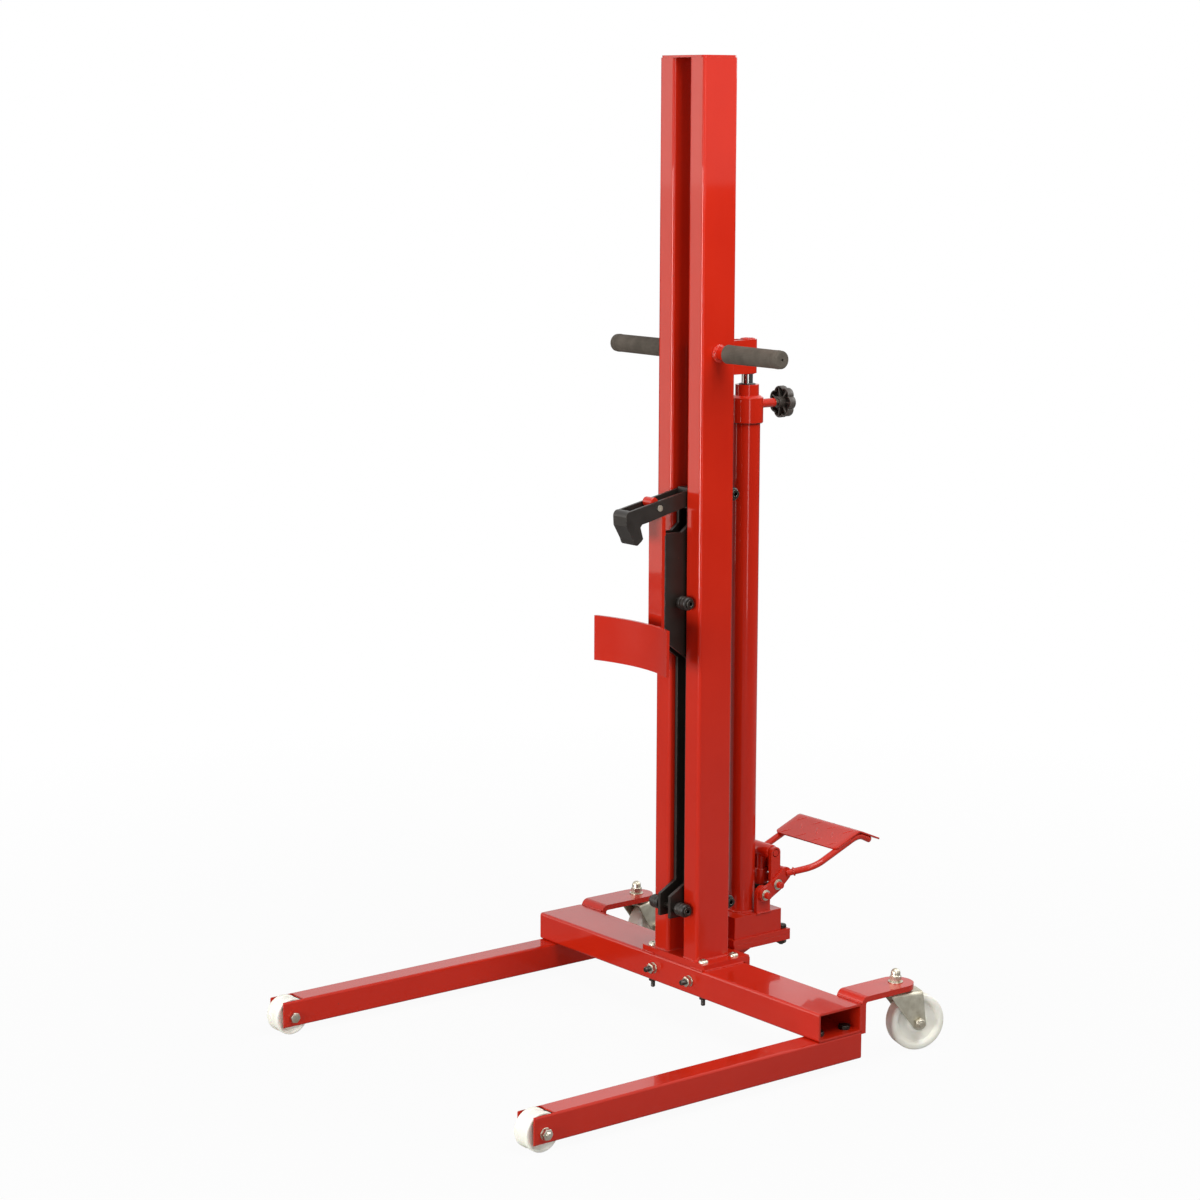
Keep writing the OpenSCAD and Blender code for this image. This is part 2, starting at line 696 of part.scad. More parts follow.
arm_tip_x = treadle_w / 2 - arm_rod_d / 2 - 1;
under_front = [0, sin(arm_pitch), -cos(arm_pitch)] * (arm_rod_d / 2);
under_back = [0, sin(flange_pitch), -cos(flange_pitch)] * (arm_rod_d / 2);
function arm_points() = [[pump_half + 4, weld_y + 6, weld_z], [60, treadle_y - 30, link_z + 21],
  [arm_tip_x, treadle_y, treadle_z] + under_front,
  [arm_tip_x, ridge_y - 4, ridge_z - 4 * tan(arm_pitch)] + under_front,
  [arm_tip_x, ridge_y + 34, ridge_z + 34 * tan(flange_pitch)] + under_back];

module pedal_arms() place() color(red) both() {
  p = arm_points();
  for (i = [0:3]) rod(p[i], p[i + 1], arm_rod_d);
  for (i = [1:3]) translate(p[i]) sphere(d = arm_rod_d + 0.6);
}

// Tread plate folded along its ridge
module treadle() place() color(red) {
  up = [cos(arm_pitch), sin(arm_pitch)];
  down = [cos(flange_pitch), sin(flange_pitch)];
  front = [treadle_y, treadle_z];
  ridge = [ridge_y, ridge_z];
  back = ridge + treadle_flange * down;
  half = treadle_w / 2;
  sheet_yz(-half, half) polygon(concat([front, ridge - 3 * up, ridge + 3 * down - [0, 0.2], back,
    back + tread_t * [-down[1], down[0]]], arc(ridge, tread_t, 90 + flange_pitch, 90 + arm_pitch, 5),
    [front + tread_t * [-up[1], up[0]]]));
  translate([0, treadle_y, treadle_z]) rotate([arm_pitch, 0, 0]) tread_rows([11, 54], [32]);
  translate([0, ridge_y, ridge_z]) rotate([flange_pitch, 0, 0]) tread_rows([32], [12]);
}

// Raised bars of a tread plate, rising at some distances up the plate and falling at others
module tread_rows(rising, falling) {
  for (s = rising, i = [-1.5:1.5]) tread_mark(i * tread_pitch, s, 50);
  for (s = falling, i = [-1:1]) tread_mark(i * tread_pitch, s, -50);
}

module tread_mark(x, s, a) translate([x, s, tread_t]) rotate(a)
  translate([-tread_bar / 2, -1.5, -1]) cube([tread_bar, 3, 2]);

// Carriage
module slide_beam() place() color(black) difference() {
  union() {
    translate([0, slide_y + slide_d / 2, slide_z])
      tube_section(slide_w, slide_d, 4, 4, yoke_top - 2 - slide_z);
    for (z = [low_roller_z, back_roller_z])
      translate([-slide_w / 2, post_d - 2 - 4, z - 14]) cube([slide_w, 30, 28]);
    translate([-beak_w / 2 + beak_t + side, slide_y - 27, beak_z - 22])
      cube([beak_w - 2 * beak_t - 2 * side, 28, 36]);
  }
  for (z = [low_roller_z, back_roller_z]) bar_x(guide_pin + 2 * run, -slide_w, slide_w, back_axle_y, z);
  bar_x(pin_d + 2 * run, -slide_w, slide_w, root[0], root[1]);
}

module carriage_cheeks() place() color(black) difference() {
  top = cheek_top - 37;
  low = rest_z + 15;
  both() sheet_yz(slide_w / 2 - 6, slide_w / 2)
    polygon([[slide_y, slide_z], [slide_y, cheek_top], [10, cheek_top], [10, top + 12], [-6, top],
      [-rest_out, top], [-rest_out, low + 40], [10, low], [10, slide_z + 60],
      [front_axle_y - 14, slide_z + 40], [front_axle_y - 14, slide_z]]);
  for (z = [low_roller_z, front_roller_z]) bar_x(guide_pin + 2 * run, -slide_w, slide_w, front_axle_y, z);
}

module guide_axle(y, z) {
  out = guide_x + guide_w;
  difference() {
    union() {
      bar_x(guide_pin, -out - 4, out + 4, y, z);
      both() {
        bar_x(16, slide_w / 2, guide_x - side, y, z);
        bar_x(16, out + side, out + 4, y, z);
      }
    }
    both() bar_x(guide_pin - 2, out - 4, out + 5, y, z);
  }
}

module guide_axles() place() color(black) {
  guide_axle(back_axle_y, low_roller_z);
  guide_axle(back_axle_y, back_roller_z);
  guide_axle(front_axle_y, low_roller_z);
  guide_axle(front_axle_y, front_roller_z);
}

module guide_rollers(y, z) place() color(black) both() difference() {
  bar_x(guide_d, guide_x, guide_x + guide_w, y, z);
  bar_x(guide_pin + 2 * run, guide_x - 1, guide_x + guide_w + 1, y, z);
}

module guide_rollers_back_top() guide_rollers(back_axle_y, back_roller_z);
module guide_rollers_back_low() guide_rollers(back_axle_y, low_roller_z);
module guide_rollers_front_top() guide_rollers(front_axle_y, front_roller_z);
module guide_rollers_front_low() guide_rollers(front_axle_y, low_roller_z);

// Backrest bar with the curved saddle that the drum leans on
module backrest() place() color(red) {
  bar_y = -rest_out - rest_t;
  saddle_z = rest_z + 10;
  saddle_y = drum_r - drum_out;
  translate([-18, bar_y, rest_z]) cube([36, rest_t, stop_z - rest_z]);
  intersection() {
    difference() {
      bar_z(2 * drum_r + 12, 0, -drum_out, saddle_z, saddle_z + saddle_h);
      bar_z(2 * drum_r, 0, -drum_out, saddle_z - 5, saddle_z + saddle_h + 5);
    }
    translate([-100, -drum_out, saddle_z - 5]) cube([200, 2 * drum_r, saddle_h + 10]);
  }
  both() translate([8, saddle_y + 5, saddle_z + 10]) cube([6, bar_y - saddle_y - 5 + eps, saddle_h - 20]);
}

// Strap bent round the end of the ram, in the slot behind the slide beam
module yoke() place() color(red) difference() {
  union() {
    bar_z(33, 0, cyl_y, yoke_z, yoke_top);
    translate([-16.5, post_d - 2, yoke_z]) cube([33, cyl_y - post_d + 2, yoke_h]);
  }
  translate([-10.5, post_d + 6, yoke_z - 1]) cube([21, cyl_back - 24, yoke_h + 2]);
  bar_z(ram_d + 2 * run, 0, cyl_y, yoke_z - 1, yoke_top + 1);
}

module beak_pin() place() color(zinc) {
  bar_x(pin_d, -beak_w / 2 - 1.2, beak_w / 2 + 1.2, root[0], root[1]);
}

// Folded beak: two plates joined by the nose, which turns down into a tooth
module beak_arm() place() color(black) {
  outline = concat([root + [0, root_r], nose], arc(nose + [-2, -10], 10, 90, 180, 5),
    [nose + [-11, -26], nose + [3, -50]], arc(nose + [12, -54], 7, 200, 290, 4),
    [nose + [23, -54], nose + [26, -50], nose + [20, -30], nose + [24, -25], heel, root - [0, root_r]]);
  pocket = [[60, 1000], nose + [4, 66], nose + [0, -8], nose + [-4, -14], nose + [-4, -25], nose + [9, -48],
    nose + [17, -52], nose + [60, -74], [60, 860]];
  difference() {
    sheet_yz(-beak_w / 2, beak_w / 2) {
      polygon(outline);
      translate(root) circle(root_r);
    }
    sheet_yz(-beak_w / 2 + beak_t, beak_w / 2 - beak_t) polygon(pocket);
    bar_x(pin_d + 2 * run, -beak_w, beak_w, root[0], root[1]);
    bar_x(catch_d + 2 * run, -beak_w, beak_w, catch_y, catch_z);
  }
}

module catch_pin() place() color(zinc) {
  bar_x(catch_d, -beak_w / 2 - 1, beak_w / 2 + 1, catch_y, catch_z);
  both() bar_x(catch_d + 3, beak_w / 2, beak_w / 2 + 1.6, catch_y, catch_z);
}

module catch_lever() place() color(red) difference() {
  half = beak_w / 2 - beak_t - 1;
  sheet_yz(-half, half) {
    strip([catch_y, catch_z], [catch_y - 23, catch_z + 7], 10);
  }
  bar_x(catch_d + 2 * run, -beak_w, beak_w, catch_y, catch_z);
}

crossbeam();
leg_left();
leg_right();
leg_bolts();
mast_post_left();
mast_post_right();
mast_cap();
mast_foot();
foot_bolts();
pump_shelf();
shelf_bolts();
pump_plate();
plate_bolts();
handle_bars();
grip_left();
grip_right();
pump_base();
cylinder_tube();
cylinder_head();
gland_collar();
rod_seals();
pump_barrel();
roller_axles();
caster_bracket_left();
caster_bracket_right();
king_bolts();
front_roller_left();
front_roller_right();
caster_fork_left();
caster_fork_right();
caster_axle_left();
caster_axle_right();
caster_wheel_left();
caster_wheel_right();
slide_beam();
carriage_cheeks();
guide_axles();
guide_rollers_back_top();
guide_rollers_front_top();
guide_rollers_back_low();
guide_rollers_front_low();
backrest();
yoke();
ram();
piston();
beak_pin();
beak_arm();
catch_pin();
catch_lever();
release_knob();
valve_spindle();
lever_plates();
pedal_arms();
treadle();
pivot_bolts();
side_links();
crosshead_pin();
plunger();
crosshead();
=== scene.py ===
import json
import math

import bmesh
import bpy
from mathutils import Matrix, Vector, noise


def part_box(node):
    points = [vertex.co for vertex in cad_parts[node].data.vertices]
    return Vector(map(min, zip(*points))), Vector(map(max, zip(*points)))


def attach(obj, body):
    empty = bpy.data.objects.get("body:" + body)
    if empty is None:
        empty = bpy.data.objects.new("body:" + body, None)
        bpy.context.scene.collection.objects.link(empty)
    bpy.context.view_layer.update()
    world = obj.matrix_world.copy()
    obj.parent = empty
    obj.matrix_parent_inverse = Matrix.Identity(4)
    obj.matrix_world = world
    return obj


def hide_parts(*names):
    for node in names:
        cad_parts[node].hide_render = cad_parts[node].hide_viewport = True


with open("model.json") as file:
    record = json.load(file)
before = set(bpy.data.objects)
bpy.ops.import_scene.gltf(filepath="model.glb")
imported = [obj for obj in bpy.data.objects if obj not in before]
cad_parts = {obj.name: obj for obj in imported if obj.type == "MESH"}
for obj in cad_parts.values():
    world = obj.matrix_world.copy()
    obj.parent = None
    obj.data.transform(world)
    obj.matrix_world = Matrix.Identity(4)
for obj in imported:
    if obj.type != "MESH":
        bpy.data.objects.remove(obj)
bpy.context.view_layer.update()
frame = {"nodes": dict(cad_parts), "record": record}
bpy.context.view_layer.update()

MM = 0.001
# The mast's front face, in metres from the origin.
MAST_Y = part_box("mast_cap")[0].y
NODES = frame["nodes"]
SLOT_OF = {part["node"]: part["material_slot"] for part in frame["record"]["subparts"]}
BEHAVIOUR = frame["record"]["behaviour"]
BODY_OF = {node: body for body, nodes in BEHAVIOUR["bodies"].items() for node in nodes}
JOINTS = {joint["name"]: joint for joint in BEHAVIOUR["joints"]}
# The sign of X on each hand.
SIDES = {"left": -1, "right": 1}
X = Vector((1, 0, 0))
Y = Vector((0, 1, 0))
Z = Vector((0, 0, 1))


def pt(x, y, z):
    """A place given in millimetres from the mast's front face, in the row frame in metres."""
    return Vector((x * MM, MAST_Y + y * MM, z * MM))


def local(v):
    """A place in the row frame, in millimetres from the mast's front face."""
    return Vector((v[0] / MM, (v[1] - MAST_Y) / MM, v[2] / MM))


def box(name):
    """The two corners of a CAD node's box, in millimetres from the mast's front face."""
    low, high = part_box(name)
    return local(low), local(high)


def middle(low, high):
    """The coordinates halfway between two corners."""
    return [(a + b) / 2 for a, b in zip(low, high)]


def off_middle(low, high):
    """The sign of X on a solid's side, and how far out the solid starts and ends."""
    near, far = sorted((abs(low.x), abs(high.x)))
    return (1 if high.x > 0 else -1), near, far


def solids(name):
    """The boxes of the solids in one CAD node, from left to right and front to back."""
    bm = bmesh.new()
    bm.from_mesh(NODES[name].data)
    bm.transform(NODES[name].matrix_world)
    bmesh.ops.remove_doubles(bm, verts=bm.verts, dist=1e-6)
    boxes = []
    left = set(bm.verts)
    while left:
        stack = [left.pop()]
        group = list(stack)
        while stack:
            for edge in stack.pop().link_edges:
                for vert in edge.verts:
                    if vert in left:
                        left.remove(vert)
                        stack.append(vert)
                        group.append(vert)
        places = [local(v.co) for v in group]
        boxes.append((Vector(map(min, zip(*places))), Vector(map(max, zip(*places)))))
    bm.free()
    return sorted(boxes, key=lambda corners: [round(v) for v in corners[0]])


# Materials


class Shader:
    """A Principled material whose inputs are built from procedural nodes."""

    def __init__(self, name, rough, metallic=0.0, **constants):
        self.material = bpy.data.materials.new(name)
        self.material.use_nodes = True
        self.tree = self.material.node_tree
        self.bsdf = self.tree.nodes["Principled BSDF"]
        self.bsdf.inputs["Metallic"].default_value = metallic
        self.bsdf.inputs["Roughness"].default_value = rough
        for key, value in constants.items():
            self.bsdf.inputs[key.replace("_", " ")].default_value = value
        self.coords = self.add("ShaderNodeTexCoord").outputs["Object"]

    def add(self, kind, **props):
        node = self.tree.nodes.new(kind)
        for key, value in props.items():
            setattr(node, key, value)
        return node

    def put(self, node, values):
        """Sets inputs of a node, from sockets or plain values."""
        for key, value in values.items():
            if isinstance(value, bpy.types.NodeSocket):
                self.tree.links.new(value, node.inputs[key])
            else:
                node.inputs[key].default_value = value
        return node

    def noise(self, scale, detail=3.0, rough=0.5, stretch=None):
        """Fractal noise over the object. stretch scales its axes."""
        source = self.coords
        if stretch:
            values = {"Vector": source, "Scale": stretch}
            source = self.put(self.add("ShaderNodeMapping"), values).outputs[0]
        values = {"Vector": source, "Scale": scale, "Detail": detail, "Roughness": rough}
        return self.put(self.add("ShaderNodeTexNoise"), values).outputs["Fac"]

    def ramp(self, value, low, high, to_low=0.0, to_high=1.0):
        """Maps value from the first range to the second, and holds it there."""
        values = {"Value": value, "From Min": low, "From Max": high, "To Min": to_low, "To Max": to_high}
        return self.put(self.add("ShaderNodeMapRange"), values).outputs["Result"]

    def times(self, a, b):
        return self.put(self.add("ShaderNodeMath", operation="MULTIPLY"), {0: a, 1: b}).outputs[0]

    def mix(self, fac, a, b):
        values = {0: fac, 6: a, 7: b}
        return self.put(self.add("ShaderNodeMix", data_type="RGBA"), values).outputs[2]

    def edges(self, radius):
        """Is 1 on sharp edges and 0 on flat faces, with the rounded normal."""
        bevel = self.add("ShaderNodeBevel", samples=4)
        bevel.inputs["Radius"].default_value = radius
        geometry = self.add("ShaderNodeNewGeometry")
        dot = self.add("ShaderNodeVectorMath", operation="DOT_PRODUCT")
        self.put(dot, {0: bevel.outputs[0], 1: geometry.outputs["Normal"]})
        return self.ramp(dot.outputs["Value"], 0.995, 0.8), bevel.outputs[0]

    def bump(self, height, strength, distance, normal):
        values = {"Height": height, "Strength": strength, "Distance": distance, "Normal": normal}
        return self.put(self.add("ShaderNodeBump"), values).outputs[0]

    def finish(self, color=None, rough=None, normal=None):
        for key, value in (("Base Color", color), ("Roughness", rough), ("Normal", normal)):
            if value is not None:
                self.put(self.bsdf, {key: value})
        return self.material


def rgb(r, g, b):
    """An sRGB colour given from 0 to 255, as a linear colour."""
    def lin(v):
        v /= 255
        return v / 12.92 if v <= 0.04045 else ((v + 0.055) / 1.055) ** 2.4
    return (lin(r), lin(g), lin(b), 1.0)


def paint(name, main, dark, light, chip, rough, peel, specks, **constants):
    """Enamel in two close tones, lighter in patches on sharp edges, with rare chips and a fine peel. The
    lighter edges are partly rubbed paint and partly a painted highlight.
    """
    mat = Shader(name, rough, **constants)
    edge, rounded = mat.edges(0.0011)
    color = mat.mix(mat.ramp(mat.noise(6.0), 0.35, 0.65), dark, main)
    # Sharp edges turn lighter in patches: rubbed paint together with a painted highlight.
    worn_and_highlit = mat.times(edge, mat.ramp(mat.noise(160.0, 5.0), 0.45, 0.62))
    color = mat.mix(mat.times(worn_and_highlit, 0.55), color, light)
    dots = mat.put(mat.add("ShaderNodeTexVoronoi"), {"Vector": mat.coords, "Scale": 34.0})
    spot = mat.ramp(dots.outputs["Distance"], 0.05, 0.03)
    rare = mat.ramp(mat.noise(7.0, 1.0), 0.56, 0.6)
    color = mat.mix(mat.times(mat.times(spot, rare), specks), color, chip)
    dust = mat.ramp(mat.noise(45.0, 6.0, 0.65), 0.3, 0.75, rough * 0.8, rough * 1.35)
    return mat.finish(color, dust, mat.bump(mat.noise(420.0, 2.0), peel, 0.0005, rounded))


def metal(name, main, stain, rough, streak, fine=900.0):
    """Bare or plated steel, stained in patches, with a grain that streak stretches."""
    mat = Shader(name, rough, metallic=1.0)
    edge, rounded = mat.edges(0.0006)
    color = mat.mix(mat.ramp(mat.noise(70.0, 5.0, 0.6), 0.35, 0.7), main, stain)
    color = mat.mix(mat.times(edge, 0.35), color, (0.9, 0.88, 0.84, 1))
    grain = mat.noise(fine, 3.0, 0.6, streak)
    shine = mat.ramp(grain, 0.25, 0.75, rough * 0.7, rough * 1.45)
    return mat.finish(color, shine, mat.bump(grain, 0.12, 0.0002, rounded))


def moulded(name, main, dark, rough, grain, strength, **constants):
    """Plastic or rubber in two close tones, with a fine grain."""
    mat = Shader(name, rough, **constants)
    rounded = mat.edges(0.0012)[1]
    cloud = mat.noise(24.0, 4.0, 0.6)
    color = mat.mix(mat.ramp(cloud, 0.35, 0.7), main, dark)
    fine = mat.noise(grain, 3.0, 0.6)
    color = mat.mix(mat.times(mat.ramp(fine, 0.6, 0.75), 0.25), color, dark)
    dull = mat.ramp(cloud, 0.3, 0.7, rough * 0.85, rough * 1.2)
    return mat.finish(color, dull, mat.bump(fine, strength, 0.0004, rounded))


EVEN = (1.0, 1.0, 1.0)
# The third colour of each enamel goes on sharp edges in patches, for rubbed paint and a painted highlight.
RED = paint("red_enamel", rgb(196, 38, 17), rgb(191, 35, 15), rgb(226, 100, 80), rgb(110, 48, 38),
            rough=0.2, peel=0.012, specks=0.7,
            Specular_IOR_Level=0.1, Coat_Weight=0.5, Coat_Roughness=0.03)
BLACK = paint("black_enamel", rgb(40, 34, 30), rgb(30, 26, 22), rgb(134, 122, 108), rgb(96, 70, 50),
              rough=0.36, peel=0.1, specks=0.9, Specular_IOR_Level=0.45)
ZINC = metal("zinc_plate", rgb(204, 199, 186), rgb(178, 169, 146), 0.28, EVEN)
FORK = metal("pressed_zinc", rgb(196, 192, 176), rgb(170, 164, 146), 0.42, (1.0, 1.0, 0.25), 400.0)
DARK_STEEL = metal("blackened_steel", rgb(70, 64, 58), rgb(48, 44, 40), 0.42, EVEN)
CHROME = metal("hard_chrome", rgb(218, 218, 216), rgb(204, 204, 202), 0.08, (1.0, 1.0, 0.05))
NYLON = moulded("cream_nylon", rgb(250, 249, 240), rgb(243, 239, 224), 0.4, 520.0, 0.06,
                Subsurface_Weight=0.05)
RUBBER = moulded("grip_rubber", rgb(92, 84, 75), rgb(74, 68, 60), 0.72, 700.0, 0.25,
                 Specular_IOR_Level=0.3)
PLASTIC = moulded("knob_plastic", rgb(74, 67, 61), rgb(60, 54, 49), 0.42, 600.0, 0.1)
SEAL = moulded("seal_rubber", rgb(28, 26, 25), rgb(20, 19, 18), 0.5, 500.0, 0.1)

FINISH = {"red_paint": RED, "black_paint": BLACK, "zinc": ZINC, "chrome": CHROME, "nylon": NYLON,
          "rubber": RUBBER, "black_plastic": PLASTIC, "seal": SEAL}


# Mesh helpers


def new_object(name, data):
    obj = bpy.data.objects.new(name, data)
    bpy.context.scene.collection.objects.link(obj)
    return obj


def mesh_object(name, bm, material):
    mesh = bpy.data.meshes.new(name)
    bm.to_mesh(mesh)
    bm.free()
    mesh.materials.append(material)
    return new_object(name, mesh)


def add_on(name, node, build, material=None, smooth=38.0):
    """Makes a piece that rides with a CAD node, in the finish of the node's slot unless material is given.
    Edges over smooth degrees stay sharp.
    """
    bm = bmesh.new()
    build(bm)
    bmesh.ops.recalc_face_normals(bm, faces=bm.faces)
    limit = math.radians(smooth)
    for face in bm.faces:
        face.smooth = True
    for edge in bm.edges:
        edge.smooth = len(edge.link_faces) != 2 or edge.calc_face_angle(0) < limit
    body, slot = BODY_OF[node], SLOT_OF[node]
    obj = mesh_object(name, bm, material or FINISH[slot])
    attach(obj, body)
    return obj


def dress(name, node, build, material=None, smooth=38.0):
    """Makes a piece that stands in for a CAD node, or for one solid of it, in the same place."""
    obj = add_on(name, node, build, material, smooth)
    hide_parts(node)
    return obj


def thicken(obj, thick):
    """Gives a sheet its thickness, half to each side."""
    plate = obj.modifiers.new("plate", "SOLIDIFY")
    plate.thickness = thick * MM
    plate.offset = 0.0


def soften(obj, width):
    """Rounds edges that turn by more than 50 degrees."""
    soft = obj.modifiers.new("soft", "BEVEL")
    soft.width = width * MM
    soft.segments = 2
    soft.limit_method = "ANGLE"
    soft.angle_limit = math.radians(50)


def frame_of(axis):
    """The axis and two unit vectors across it."""
    axis = Vector(axis).normalized()
    side = axis.cross(Z if abs(axis.z) < 0.9 else X).normalized()
    return axis, side, axis.cross(side)


def at(value, angle):
    return value(angle) if callable(value) else value


def lathe(bm, profile, origin, axis, steps, turn=0.0):
    """Turns points (distance along the axis, radius), in millimetres, round an axis.

    Either number can be a function of the angle. A radius of 0 closes the end."""
    axis, u, v = frame_of(axis)
    rings = []
    for along, radius in profile:
        if not callable(radius) and radius <= 0:
            rings.append([bm.verts.new(origin + axis * along * MM)])
            continue
        ring = []
        for i in range(steps):
            a = math.tau * i / steps
            out = u * math.cos(a + turn) + v * math.sin(a + turn)
            ring.append(bm.verts.new(origin + (axis * at(along, a) + out * at(radius, a)) * MM))
        rings.append(ring)
    for a, b in zip(rings, rings[1:]):
        for i in range(steps):
            j = (i + 1) % steps
            if len(a) == 1:
                bm.faces.new((a[0], b[j], b[i]))
            elif len(b) == 1:
                bm.faces.new((a[i], a[j], b[0]))
            else:
                bm.faces.new((a[i], a[j], b[j], b[i]))


def hoop(bm, outline, origin, axis, steps=64):
    """Turns a closed outline round an axis that it stays clear of."""
    lathe(bm, outline + outline[:1], origin, axis, steps)


def mirrored(near):
    """A whole profile from the half of it that goes from the middle outwards."""
    return [(-along, radius) for along, radius in reversed(near) if along > 0] + near


def quarter_turn(steps):
    """The angles of a quarter of a turn, in equal steps."""
    return [math.pi / 2 * i / steps for i in range(steps + 1)]


def quarter(along, radius, size):
    """Points of a rounded corner that ends a cylinder of radius at the distance along."""
    x, r = along - size, radius - size
    return [(x + size * math.sin(a), r + size * math.cos(a)) for a in quarter_turn(5)]


def bent_path(points, reach):
    """Straight runs between points, with a smooth bend that starts reach millimetres from each."""
    steps = 8
    out = [points[0]]
    for before, corner, after in zip(points, points[1:], points[2:]):
        runs = (before - corner, after - corner)
        start, end = [corner + r.normalized() * min(reach * MM, r.length * 0.45) for r in runs]
        for i in range(steps + 1):
            t = i / steps
            out.append(start.lerp(corner, t).lerp(corner.lerp(end, t), t))
    return out + [points[-1]]


def sweep(bm, path, radius, steps, closed=False):
    """A round tube along path. The radius is in millimetres, or a function of the point's number."""
    count = len(path)
    turns = [math.tau * k / steps for k in range(steps)]
    rings = []
    side = None
    for i, p in enumerate(path):
        before = path[i - 1] if (i or closed) else path[0]
        after = path[(i + 1) % count] if (i < count - 1 or closed) else path[-1]
        axis = (after - before).normalized()
        side = frame_of(axis)[1] if side is None else (side - axis * side.dot(axis)).normalized()
        up = axis.cross(side)
        r = at(radius, i) * MM
        rings.append([bm.verts.new(p + (side * math.cos(a) + up * math.sin(a)) * r) for a in turns])
    for a, b in list(zip(rings, rings[1:])) + ([(rings[-1], rings[0])] if closed else []):
        for k in range(steps):
            m = (k + 1) % steps
            bm.faces.new((a[k], a[m], b[m], b[k]))
    if not closed:
        bm.faces.new(rings[0][::-1])
        bm.faces.new(rings[-1])


def weld(bm, path, size, closed=False, seed=0):
    """A weld bead: a rope with the ripples that the electrode leaves."""
    dense = []
    loop = list(path) + ([path[0]] if closed else [])
    for a, b in zip(loop, loop[1:]):
        n = max(1, round((b - a).length / (1.1 * MM)))
        dense += [a.lerp(b, i / n) for i in range(n)]
    if not closed:
        dense.append(loop[-1])

    def swell(i):
        return size * (1 + 0.16 * math.sin(i * 2.2) + 0.22 * noise.noise(Vector((i * 0.13, seed, 0))))

    sweep(bm, dense, swell, 8, closed)


def ring_path(center, axis, radius, steps=72):
    axis, u, v = frame_of(axis)
    turns = [math.tau * i / steps for i in range(steps)]
    return [center + (u * math.cos(a) + v * math.sin(a)) * radius * MM for a in turns]


def grid(bm, rows):
    """Faces between rows of places of the same length."""
    verts = [[bm.verts.new(p) for p in row] for row in rows]
    for a, b in zip(verts, verts[1:]):
        for i in range(len(a) - 1):
            bm.faces.new((a[i], a[i + 1], b[i + 1], b[i]))


# Fasteners

# Width across flats and coarse pitch for each size of thread.
FLATS = {8: 13, 10: 17, 12: 19}
COARSE = {8: 1.25, 10: 1.5, 12: 1.75}


def hexagon(across):
    """The radius of a hexagon as a function of the angle, from its width across flats."""
    return lambda a: across / 2 / math.cos((a + math.pi / 6) % (math.pi / 3) - math.pi / 6)


def hex_shape(across):
    """A hexagon's radius, the radius of its round face, and the drop of its corners at 30 degrees."""
    corner = hexagon(across)
    face = across * 0.47

    def drop(a):
        return (corner(a) - face) * math.tan(math.radians(30))

    return corner, face, drop


def nut(bm, origin, axis, across, height, bore=0.0, turn=0.0):
    """A hexagon nut or head with its corners chamfered at 30 degrees."""
    corner, face, drop = hex_shape(across)
    profile = [(0, bore), (0, face), (drop, corner), (lambda a: height - drop(a), corner)]
    lathe(bm, profile + [(height, face), (height, bore)], origin, axis, 48, turn)


def washer(bm, origin, axis, radius, thick, bore):
    soft = 0.3
    outline = [(0, bore), (0, radius - soft), (soft, radius), (thick - soft, radius)]
    hoop(bm, outline + [(thick, radius - soft), (thick, bore)], origin, axis, 48)


def thread(bm, origin, axis, size, length):
    """The threaded end of a bolt, with a chamfered tip."""
    pitch = COARSE[size]
    depth = 0.55 * pitch
    count = max(6, round(length / pitch * 6))
    profile = [(0, 0)]
    for k in range(count + 1):
        along = length * k / count
        tip = max(0.0, along - length + 1.4)

        def radius(a, along=along, tip=tip):
            crest = 0.5 + 0.5 * math.cos(math.tau * along / pitch - a)
            return min(size / 2 - depth * (1 - crest), size / 2 - tip)

        profile.append((along, radius))
    lathe(bm, profile + [(length, 0)], origin, axis, 28)


def button_head(bm, origin, axis, radius, height):
    """A low dome head with a hexagon socket."""
    socket = hexagon(radius * 0.62)
    depth = height * 0.45
    profile = [(0, 0), (0, radius)]
    for a in quarter_turn(8):
        profile.append((height * math.sin(a), radius - (radius * 0.5) * (1 - math.cos(a))))
    lathe(bm, profile + [(height, socket), (depth, socket), (depth, 0)], origin, axis, 48)


def acorn_nut(bm, origin, axis, across, hex_height, height):
    """A domed nut."""
    corner, face, drop = hex_shape(across)
    ball = across * 0.46
    rise = height - ball
    profile = [(0, 0), (0, face), (drop, corner), (lambda a: hex_height - drop(a), corner)]
    profile += [(hex_height, face), (hex_height + 0.4, ball)]
    profile += [(rise + ball * math.sin(a), ball * math.cos(a)) for a in quarter_turn(10)[:-1]]
    lathe(bm, profile + [(height, 0)], origin, axis, 48)


def lock_nut(bm, origin, axis, across, height):
    """A nut with the round collar of its nylon ring, and the bolt's end in it."""
    nut(bm, origin, axis, across, height * 0.68)
    collar = across * 0.44
    bolt = across * 0.3
    start = height * 0.66
    end = height + 0.8
    profile = [(start, 0), (start, collar)] + quarter(height, collar, height * 0.16) + [(height, bolt)]
    lathe(bm, profile + [(height - 1.0, bolt), (height - 1.0, 0)], origin, axis, 48)
    stem = [(height - 1.2, 0), (height - 1.2, bolt - 0.3)] + quarter(end, bolt - 0.4, 0.8)
    lathe(bm, stem + [(end, 0)], origin, axis, 32)


# Base

FOOT_TOP = box("mast_foot")[1].z
SHELF_UNDER = FOOT_TOP - 4
BEAM_LOW, BEAM_HIGH = box("crossbeam")
CYL_AXIS_Y = middle(*box("cylinder_tube"))[1]


